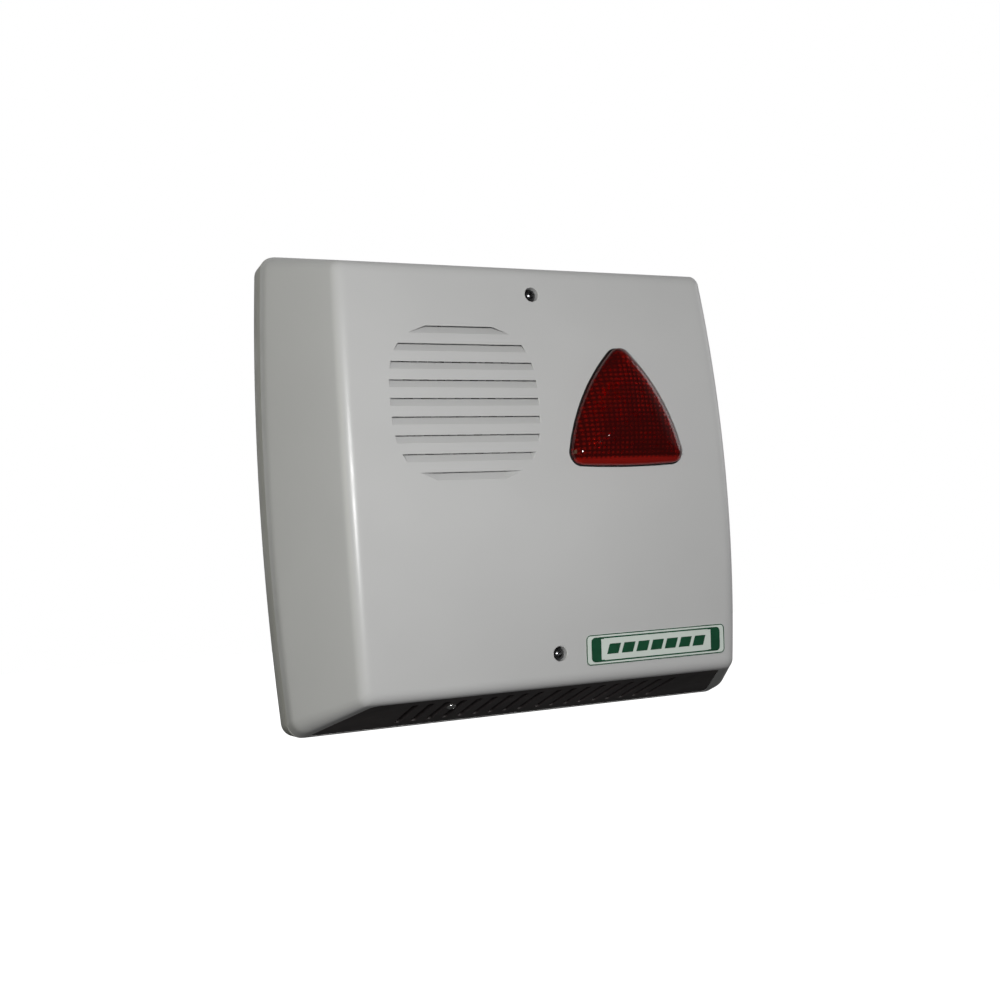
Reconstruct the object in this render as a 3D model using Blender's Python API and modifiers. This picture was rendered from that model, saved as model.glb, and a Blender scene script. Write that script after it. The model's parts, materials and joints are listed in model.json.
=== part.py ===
"""Wall-mounted alarm siren: base tray, barrel-sided cover, horn driver, beacon, battery and board.

Frame: the origin is the centre of the wall face, +Y runs into the wall, the front faces -Y, +Z is up.
"""
import math

import bmesh
import bpy
from mathutils import Matrix, Vector

MM = 0.001
GAP = 0.3 * MM

# Housing
FRONT_W = 208.0 * MM
FRONT_H = 215.0 * MM
REAR_W = 255.0 * MM
REAR_H = 249.0 * MM
FRONT_BARREL = 2.9 * MM
REAR_BARREL = 5.0 * MM
FRONT_CORNER = 4.5 * MM
REAR_CORNER = 8.0 * MM
RIM_CORNER = 7.0 * MM
BASE_DEPTH = 15.0 * MM
BAND_DEPTH = 24.0 * MM
FRONT_DEPTH = 69.5 * MM
BULGE = 6.8 * MM
EDGE_ROUND = 5.0 * MM
COVER_WALL = 2.5 * MM
BASE_WALL = 3.0 * MM

# Louvres in front of the horn
HORN_X = -42.7 * MM
HORN_Z = 36.3 * MM
LOUVRE_ROWS = 9
LOUVRE_PITCH = 9.27 * MM
LOUVRE_HEIGHT = 3.6 * MM
LOUVRE_HALF = 40.2 * MM
LOUVRE_POWER = 3.0
GUARD_Y = -65.0 * MM
GUARD_SLOTS = 7
GUARD_SLOT_PITCH = 9.0 * MM
GUARD_SCREW_REACH = 38.0 * MM

# Beacon
LENS_X = 45.5 * MM
LENS_CORNER = 6.5 * MM
LENS_VERTICES = ((0.0, 57.9 * MM), (-26.5 * MM, 9.5 * MM), (26.5 * MM, 9.5 * MM))
LENS_SIDE_BULGE = 4.0 * MM
LENS_BASE_BULGE = 0.8 * MM
LENS_SEAT_Y = -69.0 * MM
LENS_MIDDLE_Z = 27.0 * MM
LAMP_Z = 30.0 * MM

# Cover screws
SCREW_TOP_Z = 93.5 * MM
SCREW_BOTTOM_Z = -92.3 * MM
WELL_RADIUS = 3.7 * MM
WELL_FLOOR_Y = -65.0 * MM
TOWER_Y = -35.0 * MM
TOWER_RADIUS = 5.5 * MM
TOWER_BORE_RADIUS = 2.4 * MM
COVER_BOSS_RADIUS = 6.0 * MM

# Sound outlet in the underside, (front, rear) half widths and planes
UNDER_HALF = (98.0 * MM, 118.5 * MM)
UNDER_Y = (-64.6 * MM, -17.2 * MM)
OUTLET_Y = (-57.5 * MM, -25.0 * MM)
OUTLETS_PER_SIDE = 9
OUTLET_FIRST_X = 5.2 * MM
OUTLET_PITCH = 8.6 * MM
OUTLET_HALF = 1.7 * MM
GRILLE_SCREW_X = -52.5 * MM
GRILLE_SCREW_Y = -49.0 * MM

# Battery, a sealed 12 V block of 178 x 61 x 35 mm
BATTERY_SIZE = (178.0 * MM, 35.0 * MM, 61.0 * MM)
BATTERY_FRONT_Y = -42.0 * MM
BATTERY_BOTTOM_Z = -84.0 * MM
LID_HEIGHT = 5.0 * MM
STRAP_X = -55.0 * MM

# Circuit board
BOARD_X = (8.0 * MM, 108.0 * MM)
BOARD_Z = (-13.0 * MM, 86.0 * MM)
BOARD_BACK_Y = -12.4 * MM
BOARD_THICKNESS = 1.6 * MM
BOARD_FRONT_Y = BOARD_BACK_Y - BOARD_THICKNESS

# Badge on the lower right of the front
BADGE_X = 56.4 * MM
BADGE_Z = -92.0 * MM
BADGE_SIZE = (83.7 * MM, 15.6 * MM)

# Tamper switches
TAMPER_X = 99.0 * MM
TAMPER_Z = 0.0 * MM
WALL_PIN_X = 96.0 * MM
WALL_PIN_Z = 20.0 * MM

CABLE_X = -106.0 * MM
CABLE_Z = 4.0 * MM
WALL_HOLE_X = 104.0 * MM
WALL_HOLE_Z = 102.0 * MM
WALL_HOLE_RADIUS = 3.4 * MM
CABLE_HOLE_RADIUS = 9.0 * MM
WALL_PIN_HOLE_RADIUS = 3.0 * MM

FINISHES = {
    "grey_plastic": ((0.52, 0.515, 0.50), 0.42, 0.0),
    "rim_plastic": ((0.40, 0.40, 0.38), 0.5, 0.0),
    "black_plastic": ((0.012, 0.010, 0.010), 0.45, 0.0),
    "red_lens": ((0.42, 0.008, 0.008), 0.12, 0.0),
    "rubber": ((0.02, 0.02, 0.02), 0.75, 0.0),
    "steel": ((0.62, 0.62, 0.62), 0.28, 1.0),
    "zinc": ((0.55, 0.56, 0.58), 0.4, 1.0),
    "aluminium": ((0.7, 0.71, 0.72), 0.35, 1.0),
    "brass": ((0.75, 0.56, 0.25), 0.3, 1.0),
    "badge": ((0.75, 0.82, 0.76), 0.35, 0.0),
    "ferrite": ((0.05, 0.05, 0.055), 0.6, 0.0),
    "mylar": ((0.55, 0.42, 0.25), 0.35, 0.0),
    "glass": ((0.9, 0.92, 0.92), 0.05, 0.0),
    "white_plastic": ((0.8, 0.8, 0.78), 0.4, 0.0),
    "battery_case": ((0.09, 0.09, 0.095), 0.5, 0.0),
    "board": ((0.02, 0.16, 0.06), 0.45, 0.0),
    "green_plastic": ((0.03, 0.30, 0.10), 0.45, 0.0),
    "blue_plastic": ((0.03, 0.10, 0.35), 0.4, 0.0),
    "red_wire": ((0.55, 0.02, 0.02), 0.45, 0.0),
    "black_wire": ((0.02, 0.02, 0.02), 0.5, 0.0),
}


# Scene, materials and objects

def clear_scene():
    for item in list(bpy.data.objects):
        bpy.data.objects.remove(item, do_unlink=True)
    for collection in list(bpy.data.collections):
        bpy.data.collections.remove(collection)


def make_collection(name):
    collection = bpy.data.collections.new(name)
    bpy.context.scene.collection.children.link(collection)
    return collection


def make_material(name, finish):
    colour, roughness, metallic = FINISHES[finish]
    material = bpy.data.materials.new(name + "_material")
    material.use_nodes = True
    shader = material.node_tree.nodes["Principled BSDF"]
    shader.inputs["Base Color"].default_value = (*colour, 1.0)
    shader.inputs["Roughness"].default_value = roughness
    shader.inputs["Metallic"].default_value = metallic
    material.diffuse_color = (*colour, 1.0)
    return material


def make_object(name, data, finish=None):
    """Link a part when a finish is given, and otherwise a hidden cutter."""
    item = bpy.data.objects.new(name, data)
    if finish:
        PARTS.objects.link(item)
        data.materials.append(make_material(name, finish))
    else:
        CUTTERS.objects.link(item)
        item.hide_render = True
        item.display_type = "WIRE"
    return item


def mesh_from(name, bm):
    bmesh.ops.recalc_face_normals(bm, faces=bm.faces)
    mesh = bpy.data.meshes.new(name)
    bm.to_mesh(mesh)
    bm.free()
    return mesh


def smooth(item, angle=35.0):
    item.data.shade_smooth()
    item.data.set_sharp_from_angle(angle=math.radians(angle))
    return item


def boolean(target, tool, operation):
    modifier = target.modifiers.new(operation.lower() + "_" + tool.name, "BOOLEAN")
    modifier.operation = operation
    modifier.solver = "EXACT"
    modifier.object = tool


def cut(target, *tools):
    for tool in tools:
        boolean(target, tool, "DIFFERENCE")


def unite(target, *tools):
    for tool in tools:
        boolean(target, tool, "UNION")


# Shapes

def box(name, low, high, finish=None):
    low, high = Vector(low), Vector(high)
    bm = bmesh.new()
    place = Matrix.Translation((low + high) / 2) @ Matrix.Diagonal((*(high - low), 1.0))
    bmesh.ops.create_cube(bm, size=1.0, matrix=place)
    return make_object(name, mesh_from(name, bm), finish)


def block(name, x, z, width, height, y_back, y_front, finish=None):
    """A box given by its centre line, its size across it, and its back and front planes."""
    low = (x - width / 2, y_front, z - height / 2)
    high = (x + width / 2, y_back, z + height / 2)
    return box(name, low, high, finish)


def rod(name, x, z, radius, y_back, y_front, finish=None, sides=20):
    """A cylinder along Y."""
    bm = bmesh.new()
    place = Matrix.Translation((x, (y_back + y_front) / 2, z)) @ Matrix.Rotation(math.pi / 2, 4, "X")
    bmesh.ops.create_cone(
        bm, cap_ends=True, segments=sides, radius1=radius, radius2=radius, depth=abs(y_back - y_front),
        matrix=place)
    item = make_object(name, mesh_from(name, bm), finish)
    return smooth(item) if finish else item


def turned(name, x, z, profile, finish=None, steps=32):
    """Turn a profile of (radius, distance in front of the wall) about a line along Y."""
    mesh = bpy.data.meshes.new(name)
    closed = profile[0][0] > 0 or profile[-1][0] > 0
    count = len(profile)
    edges = [(i, (i + 1) % count) for i in range(count if closed else count - 1)]
    mesh.from_pydata([(radius, 0.0, height) for radius, height in profile], edges, [])
    item = make_object(name, mesh, finish)
    item.location = (x, 0.0, z)
    item.rotation_euler = (math.pi / 2, 0.0, 0.0)
    screw = item.modifiers.new("turn", "SCREW")
    screw.axis = "Z"
    screw.angle = math.tau
    screw.steps = steps
    screw.render_steps = steps
    screw.use_merge_vertices = True
    screw.merge_threshold = 0.00001
    screw.use_smooth_shade = True
    return item


def loft(name, rings, finish=None, caps=(True, True), apex=None):
    """Skin a list of rings of points. An apex closes the last ring with a fan."""
    bm = bmesh.new()
    rows = [[bm.verts.new(point) for point in ring] for ring in rings]
    count = len(rows[0])
    for row, following in zip(rows, rows[1:]):
        for i in range(count):
            j = (i + 1) % count
            bm.faces.new((row[i], row[j], following[j], following[i]))
    if caps[0]:
        bm.faces.new(list(reversed(rows[0])))
    if apex:
        tip = bm.verts.new(apex)
        for i in range(count):
            bm.faces.new((rows[-1][i], rows[-1][(i + 1) % count], tip))
    elif caps[1]:
        bm.faces.new(rows[-1])
    return make_object(name, mesh_from(name, bm), finish)


def prism(name, outline_points, y_back, y_front, finish=None):
    """A flat outline in X and Z, extruded along Y."""
    rings = [[(x, y, z) for x, z in outline_points] for y in (y_back, y_front)]
    return loft(name, rings, finish)


def tube(name, route, diameter, finish, sides_level=2):
    """A wire along a smooth curve through its route's points."""
    data = bpy.data.curves.new(name, "CURVE")
    data.dimensions = "3D"
    points = smooth_route(route)
    spline = data.splines.new("POLY")
    spline.points.add(len(points) - 1)
    for point, place in zip(spline.points, points):
        point.co = (*place, 1.0)
    data.bevel_depth = diameter / 2
    data.bevel_resolution = sides_level
    data.use_fill_caps = True
    return make_object(name, data, finish)


def smooth_route(route, steps=3):
    """Read a Catmull-Rom curve through the route's points."""
    knots = [Vector(point) for point in route]
    knots = [2 * knots[0] - knots[1]] + knots + [2 * knots[-1] - knots[-2]]
    points = []
    for a, b, c, d in zip(knots, knots[1:], knots[2:], knots[3:]):
        for step in range(steps):
            t = step / steps
            points.append(0.5 * (2 * b + (c - a) * t + (2 * a - 5 * b + 4 * c - d) * t ** 2
                                 + (3 * b - a - 3 * c + d) * t ** 3))
    points.append(knots[-2])
    return points


# Outlines and sections of the housing

def mix(a, b, t):
    return tuple(p + (q - p) * t for p, q in zip(a, b))


def outline(half_w, half_h, corner, barrel=0.0, corner_steps=4, side_steps=5):
    """A rounded rectangle whose left and right sides swell out by the barrel."""
    points = []
    for sx, sz, start in ((1, 1, 0.0), (-1, 1, 90.0), (-1, -1, 180.0), (1, -1, 270.0)):
        for step in range(corner_steps + 1):
            angle = math.radians(start + 90.0 * step / corner_steps)
            x = sx * (half_w - corner) + corner * math.cos(angle)
            z = sz * (half_h - corner) + corner * math.sin(angle)
            points.append((x, z))
    sides = []
    per_corner = corner_steps + 1
    for number in range(4):
        arc = points[number * per_corner:(number + 1) * per_corner]
        following = points[((number + 1) % 4) * per_corner]
        sides += arc
        sides += [mix(arc[-1], following, step / side_steps) for step in range(1, side_steps)]
    return [(x + x / half_w * barrel * (1 - (z / half_h) ** 2), z) for x, z in sides]


def front_y(z):
    """The front surface, which swells forward at mid-height."""
    return -FRONT_DEPTH - BULGE * max(0.0, 1 - (2 * z / FRONT_H) ** 2)


def half_height(y):
    """The top and bottom taper evenly from the base to the front."""
    share = (FRONT_DEPTH + y) / (FRONT_DEPTH - BASE_DEPTH)
    return (FRONT_H + (REAR_H - FRONT_H) * share) / 2


def band_section(y):
    """Half width, half height, corner, barrel, plane and bulge share in the band with upright sides."""
    return (REAR_W / 2, half_height(y), REAR_CORNER, REAR_BARREL, y, 0.0)


def cover_section(depth):
    """The same six values from the band (0) to the front (1)."""
    rear = band_section(-BAND_DEPTH)
    front = (FRONT_W / 2, FRONT_H / 2, FRONT_CORNER, FRONT_BARREL, -FRONT_DEPTH, 1.0)
    return mix(rear, front, depth)


def section_ring(section):
    half_w, half_h, corner, barrel, plane, share = section
    return [(x, plane + (front_y(z) + FRONT_DEPTH) * share, z)
            for x, z in outline(half_w, half_h, corner, barrel)]


def cover_rings():
    """Rings from behind the rear edge along the sides, round the front edge and in over the front."""
    turn_in = EDGE_ROUND / (FRONT_DEPTH - BAND_DEPTH)
    start = cover_section(1 - turn_in)
    edge = cover_section(1)
    inset = (FRONT_W / 2 - EDGE_ROUND, FRONT_H / 2 - EDGE_ROUND, FRONT_CORNER - EDGE_ROUND / 2,
             FRONT_BARREL, -FRONT_DEPTH, 1.0)
    sections = (band_section(-BASE_DEPTH + 2.5 * MM), cover_section(0), cover_section(0.45))
    rings = [section_ring(section) for section in sections]
    for step in range(6):
        t = step / 5
        rings.append(section_ring(mix(mix(start, edge, t), mix(edge, inset, t), t)))
    last = rings[-1]
    for scale in (0.82, 0.62, 0.42, 0.2):
        rings.append([(x * scale, front_y(z * scale), z * scale) for x, _, z in last])
    return rings


def side_arc(start, end, bulge, offset, steps):
    """The arc from start to end, swelling outwards by the bulge, moved out by the offset."""
    a, b = Vector(start), Vector(end)
    chord = b - a
    outward = Vector((chord.y, -chord.x)).normalized()
    radius = chord.length ** 2 / (8 * bulge) + bulge / 2
    centre = (a + b) / 2 - outward * (radius - bulge)
    first = a - centre
    sweep = 2 * math.asin(chord.length / (2 * radius))
    points = []
    for step in range(steps + 1):
        turn = Matrix.Rotation(sweep * step / steps, 2)
        points.append(centre + (turn @ first).normalized() * (radius + offset))
    return points


def lens_outline(offset, side_steps=6, corner_steps=4):
    """The beacon's rounded triangle, moved out by an offset from its visible edge."""
    reach = LENS_CORNER + offset
    bulges = (LENS_SIDE_BULGE, LENS_BASE_BULGE, LENS_SIDE_BULGE)
    corners = [Vector(vertex) for vertex in LENS_VERTICES]
    sides = [side_arc(corners[i], corners[(i + 1) % 3], bulges[i], reach, side_steps) for i in range(3)]
    points = []
    for i in range(3):
        following = sides[(i + 1) % 3][0]
        corner = corners[(i + 1) % 3]
        points += sides[i]
        first = sides[i][-1] - corner
        sweep = first.angle_signed(following - corner)
        for step in range(1, corner_steps):
            turn = Matrix.Rotation(-sweep * step / corner_steps, 2)
            points.append(corner + turn @ first)
    return [(LENS_X + point.x, point.y) for point in points]


# Housing parts

def make_base():
    def plan(inset, corner):
        return outline(REAR_W / 2 - inset, REAR_H / 2 - inset, corner, REAR_BARREL)

    land, groove = -BASE_DEPTH + GAP, -13.2 * MM
    levels = (
        (0.0, RIM_CORNER, 0.0), (0.0, RIM_CORNER, land), (0.8 * MM, REAR_CORNER - 0.8 * MM, land),
        (0.8 * MM, REAR_CORNER - 0.8 * MM, groove), (3.2 * MM, REAR_CORNER - 3.2 * MM, groove),
        (3.2 * MM, REAR_CORNER - 3.2 * MM, -BASE_WALL))
    rings = [[(x, y, z) for x, z in plan(inset, corner)] for inset, corner, y in levels]
    base = loft("base_tray", rings, "rim_plastic")
    root = -BASE_WALL + 1 * MM
    posts = [rod("tower_" + end, 0.0, z, TOWER_RADIUS, root, TOWER_Y, sides=24)
             for end, z in (("top", SCREW_TOP_Z), ("bottom", SCREW_BOTTOM_Z))]
    posts += [rod("board_post_%d" % number, x, z, 3.5 * MM, root, BOARD_BACK_Y + GAP, sides=16)
              for number, (x, z) in enumerate(board_screw_places())]
    posts += [rod("bracket_post_%d" % number, HORN_X, z, 4 * MM, root, -7.7 * MM, sides=16)
              for number, z in enumerate(bracket_screw_heights())]
    posts += [rod("strap_post_%d" % number, STRAP_X, z, 4 * MM, root, -6.7 * MM, sides=16)
              for number, z in enumerate(strap_screw_heights())]
    for number, x in enumerate((-60 * MM, 0.0, 60 * MM)):
        posts.append(block("battery_rib_%d" % number, x, -52 * MM, 4 * MM, 50 * MM, root, -6.7 * MM))
    for number, x in enumerate((-76 * MM, 76 * MM)):
        posts.append(block("battery_shelf_%d" % number, x, -85.8 * MM, 20 * MM, 3 * MM, root, -38 * MM))
    unite(base, *posts)
    holes = [rod("tower_bore_" + end, 0.0, z, TOWER_BORE_RADIUS, -12 * MM, TOWER_Y - 1 * MM, sides=16)
             for end, z in (("top", SCREW_TOP_Z), ("bottom", SCREW_BOTTOM_Z))]
    holes += [rod("board_bore_%d" % number, x, z, 1.6 * MM, -5 * MM, -14 * MM, sides=12)
              for number, (x, z) in enumerate(board_screw_places())]
    holes += [rod("bracket_bore_%d" % number, HORN_X, z, 2.0 * MM, -4 * MM, -9 * MM, sides=12)
              for number, z in enumerate(bracket_screw_heights())]
    holes += [rod("strap_bore_%d" % number, STRAP_X, z, 2.0 * MM, -3.4 * MM, -8 * MM, sides=12)
              for number, z in enumerate(strap_screw_heights())]
    for number, (sx, sz) in enumerate(((1, 1), (-1, 1), (-1, -1), (1, -1))):
        x, z = sx * WALL_HOLE_X, sz * WALL_HOLE_Z
        holes.append(rod("wall_hole_%d" % number, x, z, WALL_HOLE_RADIUS, 1 * MM, -5 * MM, sides=20))
    holes.append(rod("cable_hole", CABLE_X, CABLE_Z, CABLE_HOLE_RADIUS, 1 * MM, -5 * MM, sides=28))
    holes.append(rod("wall_pin_hole", WALL_PIN_X, WALL_PIN_Z, WALL_PIN_HOLE_RADIUS, 1 * MM, -5 * MM,
                     sides=20))
    cut(base, *holes)
    return smooth(base, 30)


def louvre_cutters():
    """Slots that rise as they go in, so that rain runs out; their ends follow a squircle."""
    cutters = []
    for row in range(LOUVRE_ROWS):
        middle = (row - (LOUVRE_ROWS - 1) / 2) * LOUVRE_PITCH
        face = front_y(HORN_Z + middle)
        levels = (middle - LOUVRE_HEIGHT / 2, middle + LOUVRE_HEIGHT / 2)
        widths = [LOUVRE_HALF * max(0.0, 1 - abs(level / LOUVRE_HALF) ** LOUVRE_POWER) ** (1 / LOUVRE_POWER)
                  for level in levels]
        corners = ((-widths[0], levels[0]), (widths[0], levels[0]), (widths[1], levels[1]),
                   (-widths[1], levels[1]))
        rings = [[(HORN_X + x, y, HORN_Z + z + (y - face)) for x, z in corners]
                 for y in (face - 3 * MM, face + 5 * MM)]
        cutters.append(loft("louvre_%d" % row, rings))
    return cutters


def underside_point(x, y, out):
    """A point of the sloping underside, moved out along the slope's normal."""
    slope = (REAR_H - FRONT_H) / 2 / (FRONT_DEPTH - BASE_DEPTH)
    z = -FRONT_H / 2 - (FRONT_DEPTH + y) * slope
    normal = Vector((0.0, -slope, -1.0)).normalized()
    return Vector((x, y, z)) + normal * out


def underside_ring(half_front, half_rear, y_front, y_rear, out):
    return [underside_point(x, y, out) for x, y in (
        (-half_front, y_front), (half_front, y_front), (half_rear, y_rear), (-half_rear, y_rear))]


def make_cover():
    rings = cover_rings()
    cover = loft("front_cover", rings, "grey_plastic", caps=(False, False), apex=(0.0, front_y(0.0), 0.0))
    shell = cover.modifiers.new("wall", "SOLIDIFY")
    shell.thickness = COVER_WALL
    shell.offset = -1.0
    shell.use_even_offset = True
    bosses = []
    for end, z in (("top", SCREW_TOP_Z), ("bottom", SCREW_BOTTOM_Z)):
        bosses.append(rod("cover_boss_" + end, 0.0, z, COVER_BOSS_RADIUS, TOWER_Y - GAP,
                          front_y(z) + 1 * MM, sides=24))
    for number, (x, z) in enumerate(guard_screw_places()):
        bosses.append(rod("guard_boss_%d" % number, x, z, 3.2 * MM, GUARD_Y - 1.3 * MM,
                          front_y(z) + 1.2 * MM, sides=16))
    bosses.append(rod("tamper_post", TAMPER_X, TAMPER_Z, 2.5 * MM, -34.3 * MM, -75 * MM, sides=16))
    pad = prism("lens_pad", lens_outline(8.0 * MM), LENS_SEAT_Y, -72.5 * MM)
    unite(cover, *bosses, pad)
    tools = louvre_cutters()
    tools.append(box("rear_trim", (-REAR_W, -BASE_DEPTH, -REAR_H), (REAR_W, 0.0, REAR_H)))
    tools.append(prism("lens_window", lens_outline(0.4 * MM), -60 * MM, -80 * MM))
    for end, z in (("top", SCREW_TOP_Z), ("bottom", SCREW_BOTTOM_Z)):
        tools.append(rod("well_" + end, 0.0, z, WELL_RADIUS, WELL_FLOOR_Y, -76 * MM, sides=28))
        tools.append(rod("screw_way_" + end, 0.0, z, TOWER_BORE_RADIUS, TOWER_Y + 1 * MM, -70 * MM,
                         sides=16))
    for number, (x, z) in enumerate(guard_screw_places()):
        tools.append(rod("guard_bore_%d" % number, x, z, 1.5 * MM, GUARD_Y, GUARD_Y - 6 * MM, sides=12))
    for number, (x, z) in enumerate(lens_screw_places()):
        tools.append(rod("lens_bore_%d" % number, x, z, 1.5 * MM, -68 * MM, -71.6 * MM, sides=12))
    opening = [underside_ring(*UNDER_HALF, *UNDER_Y, out) for out in (-9 * MM, 6 * MM)]
    tools.append(loft("under_opening", opening))
    cut(cover, *tools)
    return smooth(cover, 30)


def make_bottom_grille():
    """The black sound outlet in the underside: a plug in the opening with a flange inside."""
    def ring(grow, out):
        halves = [half + grow for half in UNDER_HALF]
        return underside_ring(*halves, UNDER_Y[0] - grow * 0.2, UNDER_Y[1] + grow * 0.4, out)

    levels = ((-0.4 * MM, -0.3 * MM), (-0.4 * MM, -2.9 * MM), (1.2 * MM, -2.9 * MM), (1.2 * MM, -4.6 * MM))
    grille = loft("bottom_grille", [ring(grow, out) for grow, out in levels], "black_plastic")
    slots = []
    for side in (-1, 1):
        for number in range(OUTLETS_PER_SIDE):
            x = side * (OUTLET_FIRST_X + OUTLET_PITCH * number)
            low = underside_point(x - OUTLET_HALF, OUTLET_Y[0], 0.0)
            high = underside_point(x + OUTLET_HALF, OUTLET_Y[1], 0.0)
            slots.append(box("outlet_%d_%d" % (side + 1, number), (low.x, low.y, low.z - 20 * MM),
                             (high.x, high.y, low.z + 14 * MM)))
    slots.append(rod("grille_screw_hole", 0.0, 0.0, 1.7 * MM, 8 * MM, -8 * MM, sides=16))
    slots[-1].matrix_world = grille_screw_frame()
    cut(grille, *slots)
    return grille


def grille_screw_frame():
    """The small screw's own axis (its local -Y) runs out along the underside's normal."""
    slope = math.atan2((REAR_H - FRONT_H) / 2, FRONT_DEPTH - BASE_DEPTH)
    spot = underside_point(GRILLE_SCREW_X, GRILLE_SCREW_Y, 0.0)
    return Matrix.Translation(spot) @ Matrix.Rotation(math.pi / 2 - slope, 4, "X")


def make_grille_screw():
    screw = turned("grille_screw", 0.0, 0.0, (
        (0.0, 1.6 * MM), (1.4 * MM, 1.4 * MM), (2.4 * MM, 0.4 * MM), (2.5 * MM, 0.0), (1.3 * MM, 0.0),
        (1.3 * MM, -6.0 * MM), (0.0, -6.0 * MM)), "steel", steps=20)
    screw.matrix_world = grille_screw_frame() @ Matrix.Rotation(math.pi / 2, 4, "X")
    return screw


def make_badge():
    """A thin label that follows the curve of the front."""
    rings = []
    for rise in (GAP, 0.9 * MM):
        points = outline(BADGE_SIZE[0] / 2, BADGE_SIZE[1] / 2, 2.5 * MM, 0.0, 3, 4)
        rings.append([(BADGE_X + x, front_y(BADGE_Z + z) - rise, BADGE_Z + z) for x, z in points])
    badge = loft("badge_label", rings, "badge", caps=(False, False))
    bm = bmesh.new()
    bm.from_mesh(badge.data)
    bmesh.ops.holes_fill(bm, edges=[edge for edge in bm.edges if edge.is_boundary])
    bmesh.ops.triangulate(bm, faces=[face for face in bm.faces if len(face.verts) > 4])
    bmesh.ops.recalc_face_normals(bm, faces=bm.faces)
    bm.to_mesh(badge.data)
    bm.free()
    return badge


def make_cover_screws():
    for end, z in (("top", SCREW_TOP_Z), ("bottom", SCREW_BOTTOM_Z)):
        floor = -WELL_FLOOR_Y
        screw = turned("cover_screw_" + end, 0.0, z, (
            (0.0, floor + 4.6 * MM), (1.8 * MM, floor + 4.3 * MM), (2.9 * MM, floor + 3.4 * MM),
            (3.3 * MM, floor + 2.2 * MM), (3.3 * MM, floor + 1.6 * MM), (2.0 * MM, floor + 1.6 * MM),
            (2.0 * MM, 25 * MM), (1.2 * MM, 23.5 * MM), (0.0, 23.5 * MM)), "steel", steps=16)
        slot = block("driver_slot_" + end, 0.0, z, 0.9 * MM, 5.0 * MM, -67.9 * MM, -71 * MM)
        cross = block("driver_cross_" + end, 0.0, z, 5.0 * MM, 0.9 * MM, -67.9 * MM, -71 * MM)
        cut(screw, slot, cross)
        turned("screw_washer_" + end, 0.0, z, (
            (2.35 * MM, floor + 1.3 * MM), (3.4 * MM, floor + 1.3 * MM), (3.4 * MM, floor + GAP),
            (2.35 * MM, floor + GAP)), "rubber", steps=16)


def make_cover_seal():
    """The foam cord in the rim's groove, which the cover's rear edge presses on."""
    rings = []
    for inset, y in ((1.1, -13.5), (1.1, -14.7), (2.9, -14.7), (2.9, -13.5)):
        points = outline(REAR_W / 2 - inset * MM, REAR_H / 2 - inset * MM, REAR_CORNER - inset * MM,
                         REAR_BARREL)
        rings.append([(x, y * MM, z) for x, z in points])
    return loft("cover_seal", rings + [rings[0]], "rubber", caps=(False, False))


def make_cable_grommet():
    return turned("cable_grommet", CABLE_X, CABLE_Z, (
        (4.2 * MM, 6.5 * MM), (10.5 * MM, 5.2 * MM), (11.5 * MM, 3.3 * MM), (8.6 * MM, 3.3 * MM),
        (8.6 * MM, 0.2 * MM), (4.2 * MM, 0.2 * MM)), "rubber", steps=20)


# Horn

def bracket_screw_heights():
    return (HORN_Z - 38 * MM, HORN_Z + 38 * MM)


def make_horn():
    turned("horn_flare", HORN_X, HORN_Z, (
        (42.5 * MM, 61 * MM), (42.5 * MM, 59 * MM), (39 * MM, 57.4 * MM), (30 * MM, 49 * MM),
        (22 * MM, 38 * MM), (16.5 * MM, 30.6 * MM), (27 * MM, 30.6 * MM), (27 * MM, 28.6 * MM),
        (9 * MM, 28.6 * MM), (12 * MM, 33 * MM), (20.4 * MM, 39.4 * MM), (28.6 * MM, 50.4 * MM),
        (38 * MM, 59 * MM), (40 * MM, 61 * MM)), "black_plastic", steps=28)
    plug = turned("horn_phase_plug", HORN_X, HORN_Z, (
        (0.0, 52 * MM), (8 * MM, 50.6 * MM), (12.5 * MM, 46 * MM), (12.5 * MM, 43 * MM), (9 * MM, 38 * MM),
        (5.0 * MM, 33 * MM), (3.2 * MM, 28.5 * MM), (0.0, 27.6 * MM)), "black_plastic", steps=20)
    for number in range(3):
        angle = math.tau * (number + 0.25) / 3
        fin = box("plug_fin_%d" % number, (6 * MM, -46 * MM, -0.8 * MM), (20.7 * MM, -40.5 * MM, 0.8 * MM))
        fin.matrix_world = Matrix.Translation((HORN_X, 0.0, HORN_Z)) @ Matrix.Rotation(angle, 4, "Y")
        unite(plug, fin)
    turned("driver_housing", HORN_X, HORN_Z, (
        (27 * MM, 28.3 * MM), (27 * MM, 21.3 * MM), (0.0, 21.3 * MM), (0.0, 23.0 * MM),
        (22.5 * MM, 23.0 * MM),
        (22.5 * MM, 28.3 * MM)), "zinc", steps=28)
    turned("driver_diaphragm", HORN_X, HORN_Z, (
        (0.0, 26.8 * MM), (6 * MM, 26.6 * MM), (10 * MM, 25.9 * MM), (21.5 * MM, 25.4 * MM),
        (21.5 * MM, 24.9 * MM), (10 * MM, 25.4 * MM), (6 * MM, 26.1 * MM), (0.0, 26.3 * MM)),
        "mylar", steps=20)
    turned("driver_magnet", HORN_X, HORN_Z, (
        (0.0, 21 * MM), (23.5 * MM, 21 * MM), (24.5 * MM, 20 * MM), (24.5 * MM, 11 * MM),
        (23.5 * MM, 9.8 * MM), (0.0, 9.8 * MM)), "ferrite", steps=28)
    low, high = bracket_screw_heights()
    bracket = box("horn_bracket", (HORN_X - 8 * MM, -9.5 * MM, low - 6 * MM),
                  (HORN_X + 8 * MM, -8.0 * MM, high + 6 * MM), "zinc")
    for number, z in enumerate((low, high)):
        hole = rod("bracket_hole_%d" % number, HORN_X, z, 2.1 * MM, -7 * MM, -11 * MM, sides=16)
        cut(bracket, hole)
        small_screw("bracket_screw_%d" % (number + 1), HORN_X, z, -9.5 * MM, 5 * MM)


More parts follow.
